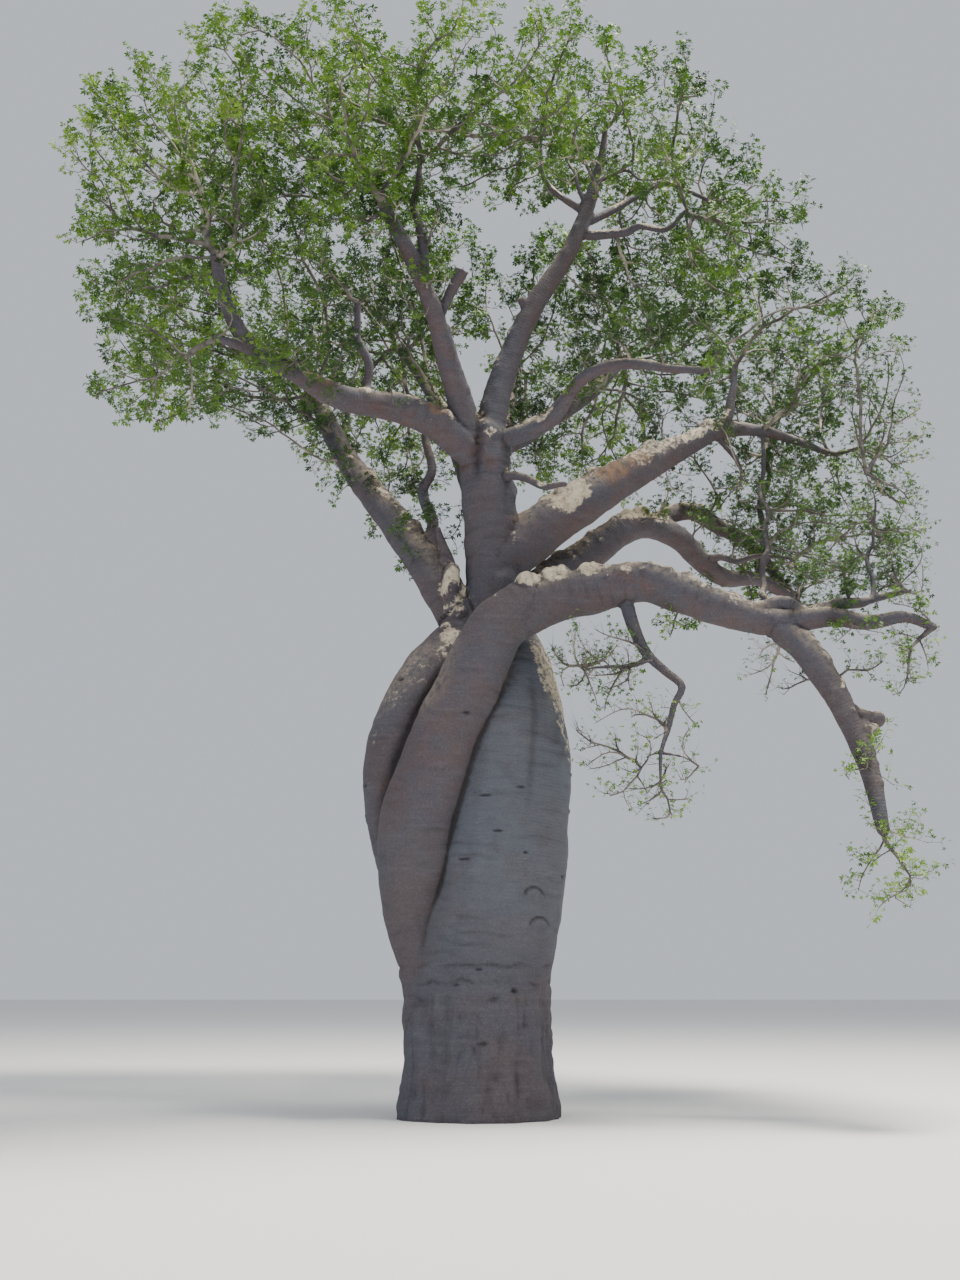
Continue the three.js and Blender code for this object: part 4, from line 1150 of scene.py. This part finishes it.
def make_leaves(starts, ends, leafy):
    """Palmate leaves along each shoot: their vertices, the corners of each triangle, and which are kept."""
    shoots, count = len(starts), len(starts) * LEAVES_PER_SHOOT
    stems, ends, leafy = (np.repeat(rows, LEAVES_PER_SHOOT, axis=0) for rows in (ends - starts, ends, leafy))
    along = unit(stems)
    back = np.tile(np.linspace(0, 0.8, LEAVES_PER_SHOOT), shoots) * np.linalg.norm(stems, axis=1)
    root = ends - along * back[:, None]
    across = unit(np.cross(along, (0.2, 0.3, 0.93)))
    over = np.cross(along, across)

    def drawn(low, high):
        return rng.uniform(low, high, count)[:, None]

    turn = np.tile(np.arange(LEAVES_PER_SHOOT) * LEAF_TURN, shoots)
    turn = turn + np.repeat(rng.uniform(0, 2 * np.pi, shoots), LEAVES_PER_SHOOT) + rng.normal(0, 0.3, count)
    open_by = np.radians(drawn(*STALK_ANGLES))
    round_shoot = np.cos(turn)[:, None] * across + np.sin(turn)[:, None] * over
    stalk = unit(np.cos(open_by) * along + np.sin(open_by) * round_shoot)
    middle = root + stalk * drawn(*STALK_LENGTHS)
    # The blade faces up, and hangs a little from its stalk.
    up = np.array([0, 0, 1.0]) + rng.normal(0, 0.45, (count, 3)) + 0.3 * along
    forward = unit(stalk + np.array([0, 0, -0.3]) + rng.normal(0, 0.15, (count, 3)))
    normal = unit(up - np.einsum("ij,ij->i", up, forward)[:, None] * forward)
    side = np.cross(forward, normal)
    size = LEAFLET_LENGTH * drawn(*LEAF_SIZES) * (0.6 + 0.4 * leafy)[:, None]
    parts, corners = [], []
    for degrees, share in LEAFLETS:
        angles = math.radians(degrees) + rng.normal(0, 0.12, count)
        pointing = np.cos(angles)[:, None] * forward + np.sin(angles)[:, None] * side
        pointing = unit(pointing - drawn(0.05, 0.5) * normal)
        long = size * share * drawn(0.85, 1.1)
        broad = 0.5 * LEAFLET_WIDTH * long
        half = unit(np.cross(normal, pointing)) * broad
        belly = middle + pointing * long * 0.55
        fold = normal * broad * drawn(0.1, 0.5)
        tip = middle + pointing * long
        first = len(parts)
        corners.append([first, first + 1, first + 2])
        if share < SMALL_LEAFLET:
            parts += [middle, belly + 1.3 * half, tip - 0.4 * half]
        else:
            parts += [middle, belly + half + fold, tip, belly - half + fold]
            corners.append([first, first + 2, first + 3])
    thin = STALK_HALF_WIDTH * unit(np.cross(stalk, normal))
    corners.append([len(parts) + k for k in range(3)])
    parts += [root + thin, root - thin, middle]
    kept = rng.random(count) < leafy
    return np.stack(parts, axis=1)[kept], corners, kept


def deal_tints(shoots_at):
    """A tint for each shoot: lighter at the top and outside as painted sunlight, darker low and inside as
    painted shade, and darker at the lower right.
    """
    outside = np.linalg.norm((shoots_at - CROWN_MIDDLE) / CROWN_HALF, axis=1)
    # Painted sunlight and shade: higher and further out is lighter, and some noise keeps the greens uneven.
    score = 0.9 * (outside - 0.78) + 0.015 * (shoots_at[:, 2] - 12.0)
    score -= 0.08 * np.clip(shoots_at[:, 0] - 2, 0, 5)
    score += 0.55 * noise(shoots_at * 0.9, 31) + 0.35 * noise(shoots_at * 0.4, 34)
    score += rng.normal(0, 0.22, len(shoots_at))
    return np.digitize(score, TINT_BOUNDS)


def make_foliage():
    """Twigs grown towards the targets, shoots at their ends, and leaves in pieces of one tint each."""
    targets, middles, leafy = find_targets()
    nodes, parents, ends, sizes = grow_towards(targets)
    seeds = len(sizes)
    nodes, parents, ends = prune(nodes, parents, ends, seeds)
    grown = ends >= seeds
    tips, outward = ends[grown], unit(targets[grown] - middles[grown])
    radii = twig_radii(parents, tips, seeds, sizes)
    nodes = smooth_skeleton(nodes, parents, seeds)
    shoots = place_shoots(nodes, parents, tips, outward)
    material = twig_material()
    twigs = mesh_object("twigs", *twig_mesh(nodes, parents, radii, seeds, sizes), smooth=True)
    for piece in (twigs, mesh_object("shoots", *shoot_mesh(*shoots))):
        place_piece(piece, material)

    vertices, corners, kept = make_leaves(*shoots, np.tile(leafy[grown], SHOOTS_PER_TIP))
    tint_of_leaf = np.repeat(deal_tints(shoots[1]), LEAVES_PER_SHOOT)[kept]
    for number, (name, tint) in enumerate(LEAF_TINTS.items()):
        material = leaf_material(f"leaf_{name}", tint)
        same_tint = vertices[tint_of_leaf == number]
        parts = math.ceil(len(same_tint) * len(corners) / MOST_TRIANGLES)
        for part, own in enumerate(np.array_split(same_tint, parts), 1):
            triangles = repeated(corners, vertices.shape[1], len(own))
            piece = mesh_object(f"leaves_{name}_{part}", own.reshape(-1, 3), triangles)
            place_piece(piece, material, FOLIAGE_NODES)


def feed(node, inputs):
    """Sets the inputs of a node to values, or links them to other nodes."""
    for key, value in inputs.items():
        if isinstance(value, bpy.types.NodeSocket):
            node.id_data.links.new(value, node.inputs[key])
        else:
            node.inputs[key].default_value = value


def new_material(name, rough):
    """A new material and its shader."""
    material = bpy.data.materials.new(name)
    material.use_nodes = True
    shader = material.node_tree.nodes["Principled BSDF"]
    feed(shader, {"Roughness": rough})
    return material, shader


def add_node(tree, kind, inputs=None, **settings):
    """The outputs of a new node of a kind, with its settings and inputs."""
    node = with_settings(tree.nodes.new(kind), **settings)
    feed(node, inputs or {})
    return node.outputs


def object_place(tree):
    """The place on the object."""
    return add_node(tree, "ShaderNodeTexCoord")["Object"]


def field_of(tree, name):
    """A number that the mesh holds at each vertex."""
    return add_node(tree, "ShaderNodeAttribute", attribute_name=name)["Fac"]


def noise_at(place, scale, detail=4.0, rough=0.6):
    """The value of a noise texture."""
    inputs = {"Vector": place, "Scale": scale, "Detail": detail, "Roughness": rough}
    return add_node(place.id_data, "ShaderNodeTexNoise", inputs)["Fac"]


def spread(value, low, high):
    """A value stretched so that low is 0 and high is 1."""
    inputs = {"Value": value, "From Min": low, "From Max": high}
    return add_node(value.id_data, "ShaderNodeMapRange", inputs, interpolation_type="SMOOTHSTEP")["Result"]


def mixed(factor, first, second):
    """Two colours mixed by a factor."""
    first, second = ((*colour, 1.0) if isinstance(colour, tuple) else colour for colour in (first, second))
    inputs = {0: factor, 6: first, 7: second}
    return add_node(factor.id_data, "ShaderNodeMix", inputs, data_type="RGBA")[2]


def maths(operation, first, second=0.0):
    """What an operation makes of two values."""
    return add_node(first.id_data, "ShaderNodeMath", {0: first, 1: second}, operation=operation)[0]


def times(first, second):
    """The product of two values."""
    return maths("MULTIPLY", first, second)


def plus(first, second):
    """The sum of two values."""
    return maths("ADD", first, second)


def finish(shader, colour, height, strength, distance):
    """Gives a shader its colour and its bumps."""
    inputs = {"Height": height, "Strength": strength, "Distance": distance}
    bump = add_node(shader.id_data, "ShaderNodeBump", inputs)[0]
    feed(shader, {"Base Color": colour, "Normal": bump})


def bark_material():
    """Grey-brown bark with warm and pale patches, painted sunlight and skylight, painted shade under the
    boughs and in the creases, and fine rings.
    """
    material, shader = new_material("bark", 0.88)
    tree = shader.id_data
    place = object_place(tree)
    flat, upright = (
        add_node(tree, "ShaderNodeMapping", {"Vector": place, "Scale": scale})[0]
        for scale in ((1.0, 1.0, 7.0), (6.0, 6.0, 1.2)))
    streaks = noise_at(flat, 2.2, 5.0)
    runs = noise_at(upright, 2.0, 5.0, 0.7)
    specks = noise_at(place, 38.0, 3.0, 0.7)
    blotch = noise_at(place, 3.1, 6.0, 0.7)
    crumbs = noise_at(place, 13.0, 6.0, 0.75)
    skylit, warm, painted_sun, rust, pale, groove, along = (
        field_of(tree, name) for name in ("skylit", "warm", "painted_sun", "rust", "pale", "groove", "along"))
    flakes = plus(pale, times(maths("SUBTRACT", crumbs, 0.5), 2.2))
    cream = mixed(spread(plus(times(runs, 0.4), times(crumbs, 0.6)), 0.36, 0.58), BARK_TAN, BARK_PALE)
    colour = mixed(spread(noise_at(place, 0.7, 3.0), 0.38, 0.62), BARK_GREY, BARK_BROWN)
    # Each layer: where it lies, how much of it shows there, and its colour.
    for mask, amount, layer in (
        # Painted bluish skylight on the shaded right stem.
        (times(skylit, spread(blotch, 0.2, 0.55)), 1.0, BARK_SKYLIT),
        # Warm red-brown, which under the boughs is painted shade.
        (times(warm, spread(blotch, 0.36, 0.62)), 0.75, BARK_RED),
        (spread(streaks, 0.5, 0.75), 0.22, BARK_LIGHT),
        (spread(streaks, 0.48, 0.3), 0.18, BARK_DARK),
        # Painted sunlight on the upper sides.
        (times(painted_sun, spread(crumbs, 0.34, 0.6)), 0.9, BARK_TAN),
        (times(rust, spread(runs, 0.3, 0.6)), 0.85, BARK_RUST),
        # Cream patches, partly painted sunlight.
        (spread(flakes, 0.34, 0.72), 0.95, cream),
        (spread(specks, 0.4, 0.7), 0.3, BARK_LIGHT),
        (spread(crumbs, 0.42, 0.3), 0.35, BARK_DARK),
        # Painted shade in the grooves, creases and hollows.
        (groove, 0.8, BARK_DARK),
    ):
        colour = mixed(times(mask, amount), colour, layer)
    lines = maths("SINE", plus(times(along, 2 * math.pi / RING_LINE_GAP), times(streaks, 9.0)))
    height = plus(plus(times(lines, 0.25), times(crumbs, 3.0)), times(specks, 0.9))
    finish(shader, colour, height, 0.6, 0.008)
    return material


def twig_material():
    """Grey-brown twigs, bleached pale here and there."""
    material, shader = new_material("twig", 0.85)
    place = object_place(shader.id_data)
    colour = mixed(spread(noise_at(place, 5.0), 0.35, 0.65), TWIG_DARK, TWIG_LIGHT)
    bleached = spread(noise_at(place, 0.9, 3.0), 0.54, 0.64)
    colour = mixed(times(bleached, 0.75), colour, TWIG_BLEACHED)
    finish(shader, colour, noise_at(place, 60.0), 0.4, 0.003)
    return material


def leaf_material(name, tint):
    """Matt leaves of one tint, a little uneven."""
    material, shader = new_material(name, 0.55)
    low, high = (tuple(min(1.0, share * c) for c in tint) for share in (0.78, 1.2))
    uneven = spread(noise_at(object_place(shader.id_data), 9.0, 2.0), 0.3, 0.7)
    feed(shader, {"Base Color": mixed(uneven, low, high), "Specular IOR Level": 0.35})
    return material


def make_stage():
    """A plain pale floor, and pale light from all round."""
    corners = [(FLOOR_HALF * x, FLOOR_HALF * y, 0) for x, y in ((-1, -1), (1, -1), (1, 1), (-1, 1))]
    floor = mesh_object("floor", corners, [(0, 1, 2, 3)])
    material, shader = new_material("floor", 0.9)
    feed(shader, {"Base Color": FLOOR_COLOUR})
    floor.data.materials.append(material)
    world = bpy.data.worlds.new("studio")
    bpy.context.scene.world = world
    world.use_nodes = True
    feed(world.node_tree.nodes["Background"], {"Color": SKY_COLOUR, "Strength": SKY_STRENGTH})


def add_area_light(name, place, size, power, colour):
    """A square lamp that faces the middle of the tree."""
    lamp = bpy.data.lights.new(name, "AREA")
    with_settings(lamp, shape="SQUARE", size=size, energy=power, color=colour)
    turn = (Vector(LAMPS_FACE) - Vector(place)).to_track_quat("-Z", "Y").to_euler()
    with_settings(add_object(name, lamp), location=place, rotation_euler=turn)


def add_camera():
    """A camera where the photographer stood, looking up at the crown."""
    camera = bpy.data.cameras.new("camera")
    lens_length = SENSOR * FOCAL_PIXELS / FRAME_PIXELS
    with_settings(camera, sensor_width=SENSOR, lens=lens_length, clip_end=FARTHEST)
    turn = (math.radians(90 + CAMERA_TILT), 0, 0)
    holder = with_settings(add_object("camera", camera), location=CAMERA_PLACE, rotation_euler=turn)
    bpy.context.scene.camera = holder


make_bark()
make_foliage()
make_stage()
for name, lamp in LAMPS.items():
    add_area_light(name, *lamp)
add_camera()
